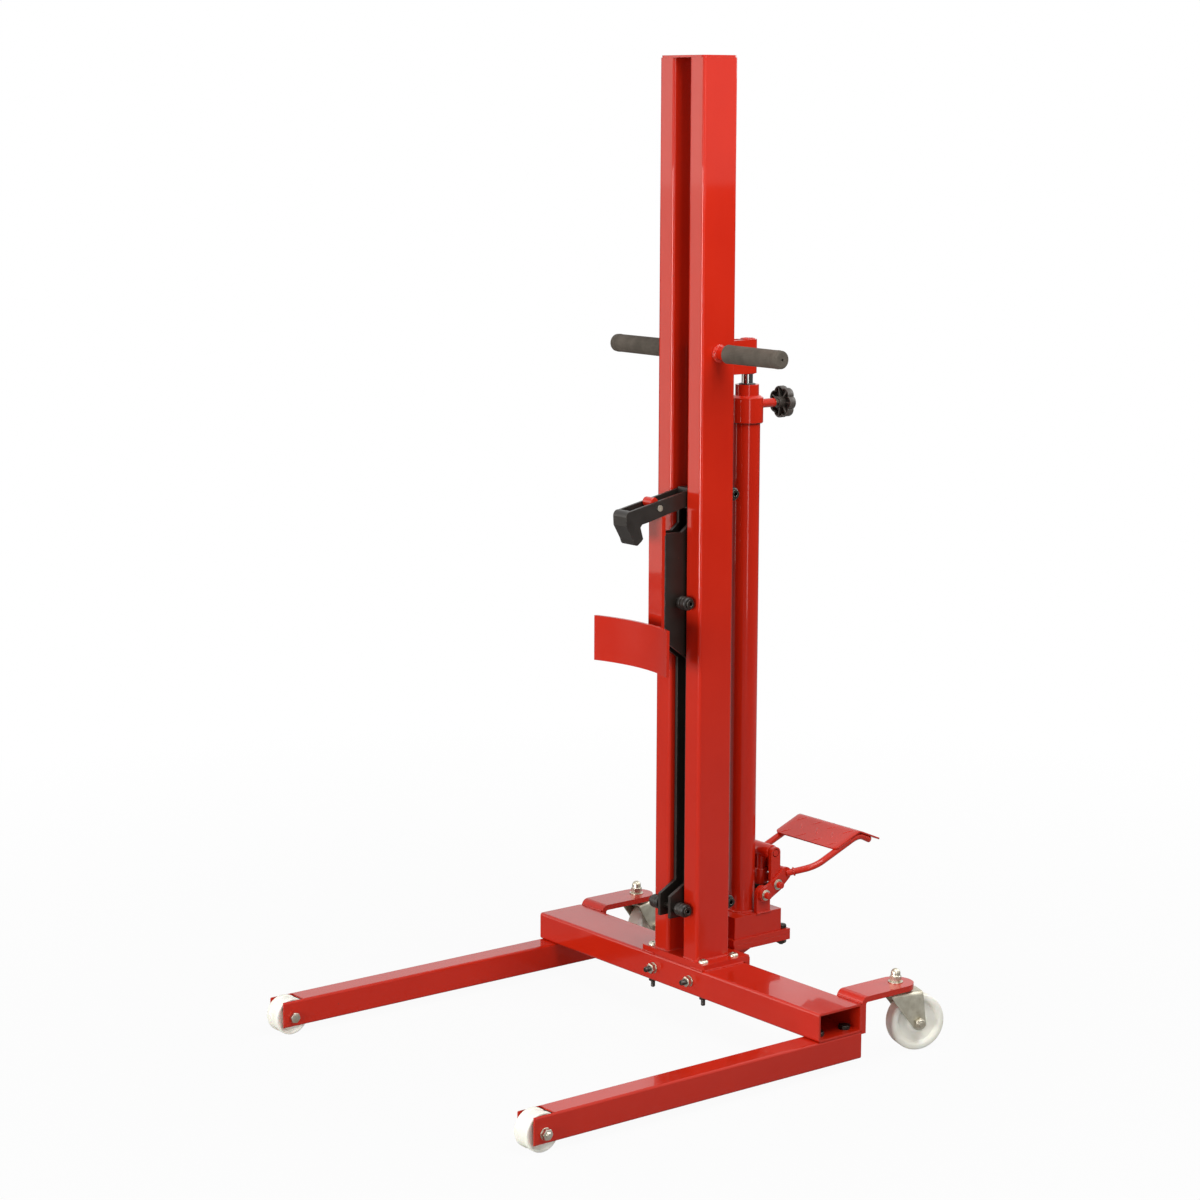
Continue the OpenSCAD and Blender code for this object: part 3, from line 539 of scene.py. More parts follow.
def foot_bolts():
    smallest = 8.8
    under = BEAM_LOW.z
    for i, (low, high) in enumerate(solids("foot_bolts")):
        x, y, _ = middle(low, high)

        def head(bm):
            radius = max(smallest, (high.x - low.x) / 2)
            button_head(bm, pt(x, y, FOOT_TOP), Z, radius, high.z - FOOT_TOP)

        def end(bm):
            nut(bm, pt(x, y, under), -Z, FLATS[8], height=6.5, bore=3, turn=0.4 * i)
            thread(bm, pt(x, y, under - 6), -Z, 8, under - 6 - low.z)

        dress(f"foot_bolt_{i + 1}", "foot_bolts", head)
        dress(f"foot_bolt_nut_{i + 1}", "foot_bolts", end, DARK_STEEL)


def shelf_bolts():
    front = BEAM_LOW.y
    rear = box("mast_foot")[1].y
    for i, (low, high) in enumerate(solids("shelf_bolts")):
        x, _, z = middle(low, high)

        def fixed(bm):
            washer(bm, pt(x, front, z), -Y, radius=10, thick=2, bore=5)
            nut(bm, pt(x, front - 2, z), -Y, FLATS[10], height=8, bore=4, turn=0.3 + i)
            nut(bm, pt(x, rear, z), Y, FLATS[10], height=high.y - rear, turn=0.7)

        def end(bm):
            thread(bm, pt(x, front - 9, z), -Y, 10, front - 9 - low.y)

        dress(f"shelf_bolt_{i + 1}", "shelf_bolts", fixed)
        dress(f"shelf_bolt_thread_{i + 1}", "shelf_bolts", end, DARK_STEEL)


def plate_bolts():
    top = box("pump_plate")[1].z
    for i, (low, high) in enumerate(solids("plate_bolts")):
        x, y, _ = middle(low, high)
        start = SHELF_UNDER - 7

        def build(bm):
            nut(bm, pt(x, y, top), Z, FLATS[10], height=high.z - top, turn=0.5 * i)
            nut(bm, pt(x, y, SHELF_UNDER), -Z, FLATS[10], height=8, bore=4)
            thread(bm, pt(x, y, start), -Z, 10, start - low.z)

        dress(f"plate_bolt_{i + 1}", "plate_bolts", build, DARK_STEEL)


def leg_bolts():
    inside = BEAM_LOW.z + 4
    under = BEAM_LOW.z - 3
    for i, (low, high) in enumerate(solids("leg_bolts")):
        x, y, _ = middle(low, high)
        start = under - 8

        def build(bm):
            nut(bm, pt(x, y, inside), Z, FLATS[12], height=high.z - inside, turn=0.2 + i)
            nut(bm, pt(x, y, under), -Z, FLATS[12], height=9, bore=5)
            thread(bm, pt(x, y, start), -Z, 12, start - low.z)

        dress(f"leg_bolt_{i + 1}", "leg_bolts", build, DARK_STEEL)


def roller_axles():
    leg_low, leg_high = box("leg_right")
    width = leg_high.x - leg_low.x
    for i, (sign, (low, high)) in enumerate(zip(SIDES.values(), solids("roller_axles"))):
        _, y, z = middle(low, high)
        out = X * sign
        inner = pt(sign * leg_low.x, y, z)
        outer = pt(sign * leg_high.x, y, z)

        def build(bm):
            lathe(bm, [(0, 0), (0, 5), (width, 5), (width, 0)], inner, out, 24)
            nut(bm, inner, -out, FLATS[10], height=6.5, turn=0.3)
            washer(bm, outer, out, radius=10, thick=1.6, bore=4)
            seat = pt(sign * (leg_high.x + 1.5), y, z)
            nut(bm, seat, out, FLATS[10], height=7.2, bore=4, turn=0.4)
            thread(bm, pt(sign * (leg_high.x + 8), y, z), out, 10, 4)

        dress(f"roller_bolt_{i + 1}", "roller_axles", build)


def front_rollers():
    for hand in SIDES:
        node = f"front_roller_{hand}"
        low, high = box(node)
        half = (high.x - low.x) / 2
        rim = (high.z - low.z) / 2

        def build(bm):
            near = [(half - 10.5, rim - 1.5), (half - 9, rim)] + quarter(half, rim, 2.2)
            near += [(half - 0.4, rim - 4.5), (half - 2, rim - 6.5), (half - 3.2, rim - 11)]
            near += [(half - 3.2, 15), (half - 0.6, 13.2), (half, 12.6), (half, 5.1)]
            hoop(bm, mirrored(near), pt(*middle(low, high)), X, 80)

        dress(f"{node}_wheel", node, build)


def wheel_place(hand):
    """The centre of a caster's wheel, and the direction of its axle."""
    spin = JOINTS[f"caster_{hand}_spin"]
    return Vector(spin["pos_m"]), Vector(spin["axis"])


def caster_wheels():
    half = 15
    for hand in SIDES:
        node = f"caster_wheel_{hand}"
        center, axle = wheel_place(hand)
        rim = center.z / MM

        def build(bm):
            near = [(6, rim)] + quarter(half - 0.6, rim, 4.2)
            near += [(half - 0.2, rim - 6), (half - 0.2, rim - 9), (half - 1.4, rim - 11)]
            near += [(half - 5.6, rim - 15), (half - 6.8, 26), (half - 6.4, 20)]
            near += [(half - 1.2, 15.6), (half, 14.8), (half, 6.1)]
            hoop(bm, mirrored(near), center, axle, 112)

        dress(f"{node}_tyre", node, build)


def caster_axles():
    half = 20
    for hand in SIDES:
        center, axle = wheel_place(hand)

        def build(bm):
            face = axle * (half * MM)
            lathe(bm, [(-half, 0), (-half, 6), (half, 6), (half, 0)], center, axle, 32)
            lock_nut(bm, center + face, axle, across=18, height=8.5)
            nut(bm, center - face, -axle, across=18, height=6)

        dress(f"caster_bolt_{hand}", f"caster_axle_{hand}", build)


def fork_sheet(bm, origin, along, axle, drop):
    """One pressed sheet: a leg, the crown bent over the wheel and the other leg.

    along is the way that the caster trails, and drop the depth from the crown to the axle."""
    half = 18.5
    trail = 38
    bend = 5
    boss = 13
    crown = 18

    def limits(z):
        """The front and the back of a leg at the height z over its axle."""
        if z < -4:
            reach = math.sqrt(max(0.0, boss * boss - z * z))
            return trail - reach, trail + reach
        front = min(trail - 12.4, trail - 16 - 0.78 * z)
        return max(front, -16), trail + 12.4 - 6.4 * (z + 4) / (drop + 4)

    profile = [(half, -boss * math.cos(a * 0.8)) for a in quarter_turn(8)]
    profile += [(half, z) for z in (-2, 2, 6, 12, 18, 24, 30, 36, 42, drop - bend)]
    for a in (0.4, 0.8, 1.2, 1.57):
        profile.append((half - bend + bend * math.cos(a), drop - bend + bend * math.sin(a)))
    profile += [(9, drop), (4.5, drop)]
    full = profile + [(0, drop)] + [(-x, z) for x, z in reversed(profile)]
    rows = []
    for x, z in full:
        front, back = limits(min(z, drop))
        if z > drop - bend:
            share = min(1.0, (z - drop + bend) / bend)
            front = front * (1 - share) - crown * share
        row = []
        for k in range(13):
            y = front + (back - front) * k / 12
            crease = max(0.0, trail - 18 - y) * (0.1 if abs(x) > 10 else 0.0)
            shift = x + math.copysign(crease, x)
            row.append(origin + (axle * shift + along * y + Z * (z - drop)) * MM)
        rows.append(row)
    grid(bm, rows)


def caster_forks():
    thick = 3
    for hand in SIDES:
        node = f"caster_fork_{hand}"
        center, axle = wheel_place(hand)
        swivel = Vector(JOINTS[f"caster_{hand}_swivel"]["pos_m"])
        along = Vector((center.x - swivel.x, center.y - swivel.y, 0)).normalized()
        drop = (swivel.z - center.z) / MM + thick / 2
        crown = Vector((swivel.x, swivel.y, center.z + drop * MM))
        seat = local(crown)
        start = seat.z + thick / 2
        rise = box(node)[1].z - start

        def sheet(bm):
            fork_sheet(bm, crown, along, axle, drop)

        def race(bm):
            outline = [(0, 7), (0, 19), (1.0, 21.2), (rise * 0.45, 21.6), (rise * 0.5, 20.4)]
            outline += [(rise * 0.58, 20.4), (rise * 0.62, 22), (rise, 22), (rise, 7)]
            hoop(bm, outline, pt(seat.x, seat.y, start), Z)

        obj = dress(f"{node}_sheet", node, sheet, FORK, 50.0)
        thicken(obj, thick)
        soften(obj, 0.7)
        dress(f"{node}_race", node, race, ZINC)


def king_bolts():
    top = box("caster_bracket_right")[1].z
    thick = 2
    for i, (low, high) in enumerate(solids("king_bolts")):
        x, y, _ = middle(low, high)
        stem = top - low.z

        def build(bm):
            washer(bm, pt(x, y, top), Z, (high.x - low.x) / 2, thick, bore=5)
            acorn_nut(bm, pt(x, y, top + thick), Z, 18, hex_height=10, height=high.z - top - thick)
            head = [(0, 0), (0, 9)] + quarter(4, 10, 1.2)
            lathe(bm, head + [(4, 6), (stem, 6), (stem, 0)], pt(x, y, low.z), Z, 40)

        dress(f"king_bolt_{i + 1}", "king_bolts", build)


def base_welds():
    foot_low, foot_high = box("mast_foot")

    def foot(bm):
        near, far, side_end = 2, 34, 86
        y = foot_low.y - 0.2
        z = BEAM_HIGH.z + 0.6
        for x, end in ((foot_low.x + near, foot_low.x + far), (foot_high.x - far, foot_high.x - near)):
            weld(bm, [pt(x, y, z), pt(end, y, z)], 1.8, seed=x)
        for x in (foot_low.x, foot_high.x):
            weld(bm, [pt(x, foot_low.y + 3, z), pt(x, side_end, z)], 1.7, seed=x)

    def posts(bm):
        inset = 5
        for hand, sign in SIDES.items():
            (x0, y0, _), (x1, y1, _) = box(f"mast_post_{hand}")
            corners = ((x0 + inset, y0), (x1 - inset, y0), (x1, y0 + inset), (x1, y1 - inset),
                       (x1 - inset, y1), (x0 + inset, y1), (x0, y1 - inset), (x0, y0 + inset))
            weld(bm, [pt(x, y, FOOT_TOP) for x, y in corners], 1.9, True, sign)

    def brackets(bm):
        y = BEAM_HIGH.y
        z = BEAM_HIGH.z - 0.4
        for hand, sign in SIDES.items():
            low, high = box(f"caster_bracket_{hand}")
            weld(bm, [pt(low.x + 2, y, z), pt(high.x - 2, y, z)], 2.1, seed=sign)
            lower = [pt(low.x + 3, y + 1, low.z), pt(high.x - 3, y + 1, low.z)]
            weld(bm, lower, 1.9, seed=sign + 4)

    add_on("foot_weld", "mast_foot", foot)
    add_on("post_welds", "mast_foot", posts)
    add_on("bracket_welds", "crossbeam", brackets)


# Mast


def grips():
    """Rubber grips with a fine net of grooves, a rim and a vent hole in the end."""
    cells = 36
    step = 0.72
    vent = 2.3
    for hand, sign in SIDES.items():
        low, high = box(f"grip_{hand}")
        _, y, z = middle(low, high)
        start = low.x if sign > 0 else high.x
        length = high.x - low.x
        radius = (high.z - low.z) / 2
        knurl = length - 14

        def build(bm):
            profile = [(0, 11.2), (0, radius - 0.8), (0.8, radius), (3.6, radius), (4.2, radius - 0.7)]
            for k in range(int(5 / step), int(knurl / step)):
                taper = radius - 0.3 * k * step / knurl

                def rough(a, k=k, taper=taper):
                    groove = k % 4 == 0 or (a * cells / math.tau) % 1 < 0.2
                    return taper - (0.75 if groove else 0.3)

                profile.append((k * step, rough))
            profile += [(knurl, radius - 1.4), (knurl + 0.6, radius - 0.6), (knurl + 1.2, radius - 0.3),
                        (knurl + 5, radius - 0.3), (knurl + 5.8, radius - 0.5), (knurl + 6.4, radius - 1.0)]
            profile += quarter(length, radius - 0.8, 4)
            profile += [(length, vent), (length - 6, vent), (length - 6, 0)]
            lathe(bm, profile, pt(start, y, z), X * sign, cells * 4)

        dress(f"grip_{hand}_rubber", f"grip_{hand}", build, smooth=60.0)


def mast_welds():
    _, y, z = middle(*box("handle_bars"))
    post = box("mast_post_right")[1].x

    def bars(bm):
        for sign in SIDES.values():
            weld(bm, ring_path(pt(sign * (post + 1.5), y, z), X, 13.6), 2.3, True, sign)
            weld(bm, ring_path(pt(sign * (post + 4.2), y, z), X, 11.6), 1.7, True, sign + 2)

    add_on("bar_welds", "handle_bars", bars)


# Cylinder and pump


def cylinder_details():
    tube_low, tube_high = box("cylinder_tube")
    head_low, head_high = box("cylinder_head")
    collar_top = box("gland_collar")[1].z
    base = pt(0, CYL_AXIS_Y, 0)

    def foot(bm):
        radius = (tube_high.x - tube_low.x) / 2 + 0.8
        weld(bm, ring_path(base + Z * (tube_low.z + 0.8) * MM, Z, radius), 2.4, True, 3)

    # A near black ring in the joint under the head, set in from its rim: painted shade for the groove
    # there, drawn in the dark seal material.
    def painted_groove_shade(bm):
        radius = (head_high.x - head_low.x) / 2
        inner = radius - 4.6
        outline = [(-1.6, inner), (-1.2, radius - 1.4), (0.2, radius - 1.0), (0.6, inner)]
        hoop(bm, outline, base + Z * head_low.z * MM, Z, 96)

    def wiper(bm):
        outline = [(-0.6, 10.4), (-0.6, 14.6), (0.5, 15.2), (1.4, 14.4), (1.8, 11.2), (0.9, 10.3)]
        hoop(bm, outline, base + Z * collar_top * MM, Z, 72)

    add_on("cylinder_weld", "cylinder_tube", foot)
    # The ring under the head is dark seal material as painted shade of the groove.
    add_on("head_painted_groove_shade", "cylinder_head", painted_groove_shade, SEAL)
    add_on("ram_wiper", "rod_seals", wiper)


def knob():
    """A knob with seven lobes, hollow at the back, with a hub and ribs."""
    low, high = box("release_knob")
    lobes = 7
    radius = 29
    valley = 4.4
    wall = 3
    hub = 10
    length = high.y - low.y
    origin = pt(0, low.y, JOINTS["release_turn"]["pos_m"][2] / MM)

    def outer(inset):
        return lambda a: radius - inset - valley * (1 - abs(math.cos(lobes * a / 2)) ** 0.62)

    def rib(bm, turn):
        axis, u, v = frame_of(Y)
        out = u * math.cos(turn) + v * math.sin(turn)
        across = axis.cross(out)
        side = 1.3
        corners = ((hub, -side), (radius - wall, -side), (radius - wall, side), (hub, side))
        ends = []
        for along in (9.4, length - 5.5):
            places = [axis * along + out * far + across * wide for far, wide in corners]
            ends.append([bm.verts.new(origin + place * MM) for place in places])
        bottom, top = ends
        bm.faces.new(bottom)
        bm.faces.new(top[::-1])
        for k in range(4):
            bm.faces.new((bottom[k], top[k], top[(k + 1) % 4], bottom[(k + 1) % 4]))

    def build(bm):
        profile = [(0, 4.2), (0, 9.2), (0.8, hub), (6.5, hub), (length - 6, 11), (length - 6, outer(wall)),
                   (8.4, outer(wall)), (8.0, outer(wall - 0.6)), (8.0, outer(0.9)), (8.9, outer(0.1)),
                   (9.6, outer(0)), (length - 3.6, outer(0)), (length - 1.8, outer(0.7)),
                   (length - 0.6, outer(2.2)), (length, outer(4.6)), (length, 12),
                   (length - 0.8, 10.5), (length - 0.8, 0)]
        lathe(bm, profile, origin, Y, lobes * 24)
        for i in range(lobes):
            rib(bm, math.tau * i / lobes)

    dress("knob_moulding", "release_knob", build, smooth=42.0)


def wiper_top():
    """The top of the wiper round the plunger, the lower of the two seals."""
    return min(high.z for _, high in solids("rod_seals"))


def pump_welds():
    block = 40
    lug = 8.4
    side = box("pump_base")[1].x
    top = box("pump_plate")[1].z + block
    fulcrum = local(JOINTS["pedal_press"]["pos_m"])
    barrel_low, barrel_high = box("pump_barrel")
    center = (barrel_low + barrel_high) / 2

    def lugs(bm):
        for sign in SIDES.values():
            for x, reach, size, seed in ((side, 17, 2.6, 0), (side - lug, 15, 1.8, 3)):
                ends = [pt(sign * x, fulcrum.y - reach, top), pt(sign * x, fulcrum.y + reach, top)]
                weld(bm, ends, size, seed=sign + seed)

    def barrel(bm):
        weld(bm, ring_path(pt(center.x, center.y, top + 0.8), Z, 14.6), 1.8, True, 7)

    def shelf(bm):
        low, high = box("pump_shelf")
        rear = box("mast_foot")[1].y
        across = [pt(x, rear + 0.3, SHELF_UNDER) for x in (low.x + 2, high.x - 2)]
        weld(bm, across, 2.0, seed=1)
        for x in (-22, -14, 14, 22):
            along = [pt(x, y, SHELF_UNDER - 0.3) for y in (rear + 4, high.y - 50)]
            weld(bm, along, 1.6, seed=x)

    def sleeve(bm):
        """Keeps dust off the plunger. The crosshead comes down to just over it."""
        bore, radius = 8.5, 11.5
        foot = wiper_top() + 0.2
        rim = box("crosshead")[0].z - 23.5
        outline = [(foot, bore), (foot, radius)] + quarter(rim, radius, 2) + [(rim, bore)]
        hoop(bm, outline, pt(center.x, center.y, 0), Z, 56)

    add_on("lug_welds", "pump_base", lugs)
    add_on("plunger_sleeve", "pump_barrel", sleeve)
    add_on("barrel_weld", "pump_barrel", barrel)
    add_on("shelf_welds", "pump_shelf", shelf)


def crosshead():
    """The round bar over the plunger with the pin of the links, thicker than its solid."""
    low, high = box("crosshead")
    _, y, z = middle(low, high)
    radius = (high.z - low.z) / 2 + 1.8

    def build(bm):
        near = [(0, radius)] + quarter(high.x, radius, 1.2) + [(high.x, 6.3)]
        hoop(bm, mirrored(near), pt(0, y, z), X)

    dress("crosshead_bar", "crosshead", build)


def pivot_pins():
    """Painted pins, longer than their solids, with zinc washers and rings."""
    radius = 6
    plate = box("lever_plates")[1].x
    for i, (low, high) in enumerate(solids("pivot_bolts")):
        _, y, z = middle(low, high)
        sign, inner, outer = off_middle(low, high)
        out = X * sign

        def shank(bm):
            end = outer + 6
            profile = [(inner, 0), (inner, radius)] + quarter(end, radius, 0.9) + [(end, 0)]
            lathe(bm, profile, pt(0, y, z), out, 40)

        def rings(bm):
            washer(bm, pt(sign * (plate + 0.1), y, z), out, 9.8, 1.6, radius)
            washer(bm, pt(sign * (plate + 1.9), y, z), out, 7.9, 1.1, radius)
            start, end = inner + 1, inner + 2.7
            lathe(bm, [(start, radius), (start, 8), (end, 8), (end, radius)], pt(0, y, z), out, 40)

        dress(f"pivot_pin_{i + 1}", "pivot_bolts", shank, RED)
        dress(f"pivot_rings_{i + 1}", "pivot_bolts", rings)


def slab(bm, low, high):
    """A plate between two corners, in millimetres."""
    low, high = Vector(low), Vector(high)
    size = Matrix.Diagonal(((high - low) * MM).to_4d())
    bmesh.ops.create_cube(bm, size=1, matrix=Matrix.Translation(pt(*((low + high) / 2))) @ size)


def link_web():
    """The bent back of the links, which joins the two plates into one channel."""
    high = box("side_links")[1]
    inner = high.x - 8
    pivot = local(JOINTS["link_swing"]["pos_m"])
    over = wiper_top() + 21.5
    under = box("crosshead")[0].z - 5
    foot, shelf = pivot.z - 7, pivot.z + 10

    def build(bm):
        slab(bm, (-inner - 0.5, high.y - 1.4, over), (inner + 0.5, high.y + 1.2, under))
        slab(bm, (-inner, pivot.y + 16, foot), (inner, pivot.y + 18.6, shelf))
        for x in (-inner + 0.2, inner - 2.8):
            slab(bm, (x, pivot.y + 9.4, foot), (x + 2.6, pivot.y + 18, shelf))

    soften(add_on("link_web", "side_links", build), 0.6)


# Pedal

TREAD_PITCH = math.radians(22)
FLANGE_PITCH = math.radians(-23)
TREAD_L = 65
FLANGE_L = 58
TREAD_T = 3
# The plate bends this far to each side of its ridge, and sinks there.
RIDGE_HALF = 3
RIDGE_SINK = 0.6


def uphill(pitch):
    return Vector((0, math.cos(pitch), math.sin(pitch)))


def tread_front():
    """The lower front edge of the tread plate, across the middle."""
    low = box("treadle")[0]
    return Vector((0, low.y + TREAD_T * math.sin(TREAD_PITCH), low.z))


def tread_place(x, s, lift):
    """A place on the tread plate: x across, s up the plate from its front edge, lift over its underside."""
    front = tread_front()
    ridge = front + uphill(TREAD_PITCH) * TREAD_L
    if s <= TREAD_L - RIDGE_HALF:
        pitch, base, run = TREAD_PITCH, front, s
    elif s >= TREAD_L + RIDGE_HALF:
        pitch, base, run = FLANGE_PITCH, ridge, s - TREAD_L
    else:
        run = s - TREAD_L
        share = (run + RIDGE_HALF) / (2 * RIDGE_HALF)
        pitch = TREAD_PITCH + (FLANGE_PITCH - TREAD_PITCH) * share
        base = ridge - Z * RIDGE_SINK * math.sin(math.pi * share)
        base -= Z * (abs(run) * math.sin(TREAD_PITCH) + run * math.sin(pitch))
    y = run * math.cos(pitch) - lift * math.sin(pitch)
    z = run * math.sin(pitch) + lift * math.cos(pitch)
    return base + Vector((x, y, z))


def treadle():
    low, high = box("treadle")
    half = (high.x - low.x) / 2
    total = TREAD_L + FLANGE_L
    corner = 9

    def reach(s):
        """Half of the plate's width at s, less what its round corners take."""
        edge = min(s, total - s)
        if edge >= corner:
            return half
        return half - corner + math.sqrt(max(0.0, corner ** 2 - (corner - edge) ** 2))

    def plate(bm):
        rounding = [corner * (1 - math.cos(a)) for a in quarter_turn(6)]
        stations = rounding + [16, 24, 32, 40, 48, 56]
        stations += [TREAD_L + d for d in (-3, -1.5, 0, 1.5, 3, 12, 22, 32, 42)]
        stations += [total - d for d in reversed(rounding)]
        rows = []
        for s in stations:
            wide = reach(s)
            rows.append([tread_place(wide * (k / 8 - 1), s, TREAD_T / 2) for k in range(17)])
        grid(bm, [[pt(*p) for p in row] for row in rows])

    def bars(bm):
        pitch = 41.5
        marks = [(x * pitch, s, 50) for s in (11, 54, 97) for x in (-1.5, -0.5, 0.5, 1.5)]
        marks += [(x * pitch, s, -51) for s in (32, 77) for x in (-1, 0, 1)]
        for x, s, angle in marks:
            tread_bar(bm, x, s, math.radians(angle))

    obj = dress("tread_plate", "treadle", plate, smooth=30.0)
    thicken(obj, TREAD_T)
    soften(obj, 0.6)
    dress("tread_bars", "treadle", bars, smooth=60.0)


def tread_bar(bm, x, s, angle):
    """One raised bar of the tread, shaped like a lens."""
    length, width, height = 25, 3.4, 1.0
    sunk = 0.25
    rows = []
    for i in range(11):
        t = i / 5 - 1
        fade = math.sqrt(max(0.0, 1 - t * t))
        row = []
        for k in range(7):
            w = math.pi * k / 6
            across = width / 2 * fade * math.cos(w)
            rise = height * fade * math.sin(w) - sunk
            along = length / 2 * t
            dx = along * math.cos(angle) - across * math.sin(angle)
            ds = along * math.sin(angle) + across * math.cos(angle)
            row.append(pt(*tread_place(x + dx, s + ds, TREAD_T + rise)))
        rows.append(row)
    grid(bm, rows)
    bmesh.ops.remove_doubles(bm, verts=bm.verts, dist=1e-6)


def pedal_arms():
    radius = 6
    lead = 50
    tail = 34
    front = tread_front()
    up = uphill(TREAD_PITCH)
    ridge = front + up * TREAD_L
    under_front = Vector((0, math.sin(TREAD_PITCH), -math.cos(TREAD_PITCH))) * radius
    under_back = Vector((0, math.sin(FLANGE_PITCH), -math.cos(FLANGE_PITCH))) * radius
    plates = box("lever_plates")[1]
    tip = box("treadle")[1].x - radius - 1

    def path(sign):
        foot = Vector((tip, front.y, front.z)) + under_front
        crest = Vector((tip, ridge.y, ridge.z))
        points = [Vector((plates.x - 2, plates.y - 9, plates.z - 12)), foot - up * lead,
                  crest + under_front * 1.05, crest + uphill(FLANGE_PITCH) * tail + under_back]
        return bent_path([pt(sign * p.x, p.y, p.z) for p in points], 20)

    def arms(bm):
        for sign in SIDES.values():
            sweep(bm, path(sign), radius, 28)

    def beads(bm):
        for sign in SIDES.values():
            line = path(sign)
            ring = ring_path(line[0].lerp(line[1], 0.4), line[1] - line[0], radius + 0.6, 30)
            weld(bm, ring, 1.5, True, sign)
            for shift in (-radius, radius):
                stretch = [tread_place(sign * tip + shift, s, -0.6) for s in (8, 40)]
                weld(bm, [pt(*p) for p in stretch], 1.5, seed=shift)

    dress("arm_rods", "pedal_arms", arms)
    add_on("arm_welds", "lever_plates", beads)


# Carriage


def guide_rollers():
    for place in ("back_top", "front_top", "back_low", "front_low"):
        node = f"guide_rollers_{place}"
        for i, (low, high) in enumerate(solids(node)):
            _, y, z = middle(low, high)
            sign, inner, outer = off_middle(low, high)
            radius = (high.z - low.z) / 2
            bore = 5.1

            def build(bm):
                outline = [(inner, bore), (inner, radius - 1), (inner + 1, radius)]
                for share in (0.3, 0.62):
                    mid = inner + (outer - inner) * share
                    outline += [(mid - 1.2, radius), (mid - 0.7, radius - 0.8)]
                    outline += [(mid + 0.7, radius - 0.8), (mid + 1.2, radius)]
                outline += quarter(outer, radius, 3.2) + [(outer, radius - 4.4)]
                outline += [(outer - 1.2, radius - 5.2), (outer - 1.2, bore)]
                hoop(bm, outline, pt(0, y, z), X * sign)

            dress(f"{node}_{i + 1}", node, build)


def carriage_welds():
    yoke_low, yoke_high = box("yoke")
    rest_low, rest_high = box("backrest")
    cheeks_low, cheeks_high = box("carriage_cheeks")

    def yoke(bm):
        for z, radius in ((yoke_high.z, 11.4), (yoke_low.z, 11.6)):
            weld(bm, ring_path(pt(0, CYL_AXIS_Y, z), Z, radius), 1.7, True, z)

    def rest(bm):
        for x in (cheeks_low.x, cheeks_high.x):
            ends = [pt(x, rest_high.y, z) for z in (rest_low.z + 56, cheeks_high.z - 40)]
            weld(bm, ends, 2.0, seed=x)

    add_on("yoke_welds", "yoke", yoke)
    add_on("rest_welds", "carriage_cheeks", rest)


def catch_lever():
    """The short red lever between the cheeks of the beak, with a round tip in front of its pin."""
    half = box("catch_lever")[1].x
    tip = Vector((-7, 10))
    bore = 4.5
    soft = 1.2

    def reach(a):
        """How far the lever goes from its pin at the angle a."""
        ray = Vector((-math.cos(a), -math.sin(a)))
        best = 0.0
        for i in range(9):
            center = tip * i / 8
            radius = 7.5 + i / 8
            along = center.dot(ray)
            room = radius * radius - center.length_squared + along * along
            if room > 0:
                best = max(best, along + math.sqrt(room))
        return best

    def inset(a):
        return reach(a) - soft

    def build(bm):
        outline = [(-half, bore), (-half, inset), (soft - half, reach), (half - soft, reach)]
        outline += [(half, inset), (half, bore)]
        hoop(bm, outline, Vector(JOINTS["catch_tilt"]["pos_m"]), X, 72)

    dress("catch_blade", "catch_lever", build)


# Finishes of the CAD nodes. A few differ from the finish of their slot.

BARE = {"guide_axles": DARK_STEEL, "crosshead_pin": RED, "catch_pin": FORK}
for name, obj in NODES.items():
    obj.data.materials.clear()
    obj.data.materials.append(BARE.get(name) or FINISH[SLOT_OF[name]])

foot_bolts()
shelf_bolts()
plate_bolts()
leg_bolts()
roller_axles()
front_rollers()
caster_wheels()
caster_axles()
caster_forks()
king_bolts()
base_welds()
grips()
mast_welds()
cylinder_details()
knob()
pump_welds()
crosshead()
pivot_pins()
link_web()
treadle()
pedal_arms()
guide_rollers()
catch_lever()
carriage_welds()


# Studio


def lamp(name, place, target, size, power, color=(1, 1, 1)):
    data = bpy.data.lights.new(name, "AREA")
    data.shape = "RECTANGLE"
    data.size, data.size_y = size
    data.energy = power
    data.color = color
    obj = new_object(name, data)
    obj.location = place
    obj.rotation_euler = (Vector(target) - Vector(place)).to_track_quat("-Z", "Y").to_euler()


def seen_by(tree, names):
    """A socket that is 1 for the kinds of ray in names, and 0 for the others."""
    path = tree.nodes.new("ShaderNodeLightPath")
    total = path.outputs[names[0]]
    for name in names[1:]:
        node = tree.nodes.new("ShaderNodeMath")
        node.operation = "MAXIMUM"
        tree.links.new(total, node.inputs[0])
        tree.links.new(path.outputs[name], node.inputs[1])
        total = node.outputs[0]
    return total


def blend(tree, share, first, second, output):
    """Shows the second shader by share, and the first for the rest."""
    mix = tree.nodes.new("ShaderNodeMixShader")
    for socket, source in zip(mix.inputs, (share, first, second)):
        tree.links.new(source, socket)
    tree.links.new(mix.outputs[0], tree.nodes[output].inputs[0])


def build_world(strength):
    """Plain white to look at and in reflections, and light of the given strength otherwise."""
    world = bpy.data.worlds.new("studio")
    bpy.context.scene.world = world
    world.use_nodes = True
    tree = world.node_tree
    shown = tree.nodes["Background"]
    shown.inputs["Color"].default_value = (1, 1, 1, 1)
    shown.inputs["Strength"].default_value = 1.0
    lit = tree.nodes.new("ShaderNodeBackground")
    lit.inputs["Color"].default_value = (1, 1, 1, 1)
    lit.inputs["Strength"].default_value = strength
    white = seen_by(tree, ("Is Camera Ray", "Is Glossy Ray", "Is Transmission Ray"))
    blend(tree, white, lit.outputs[0], shown.outputs[0], "World Output")


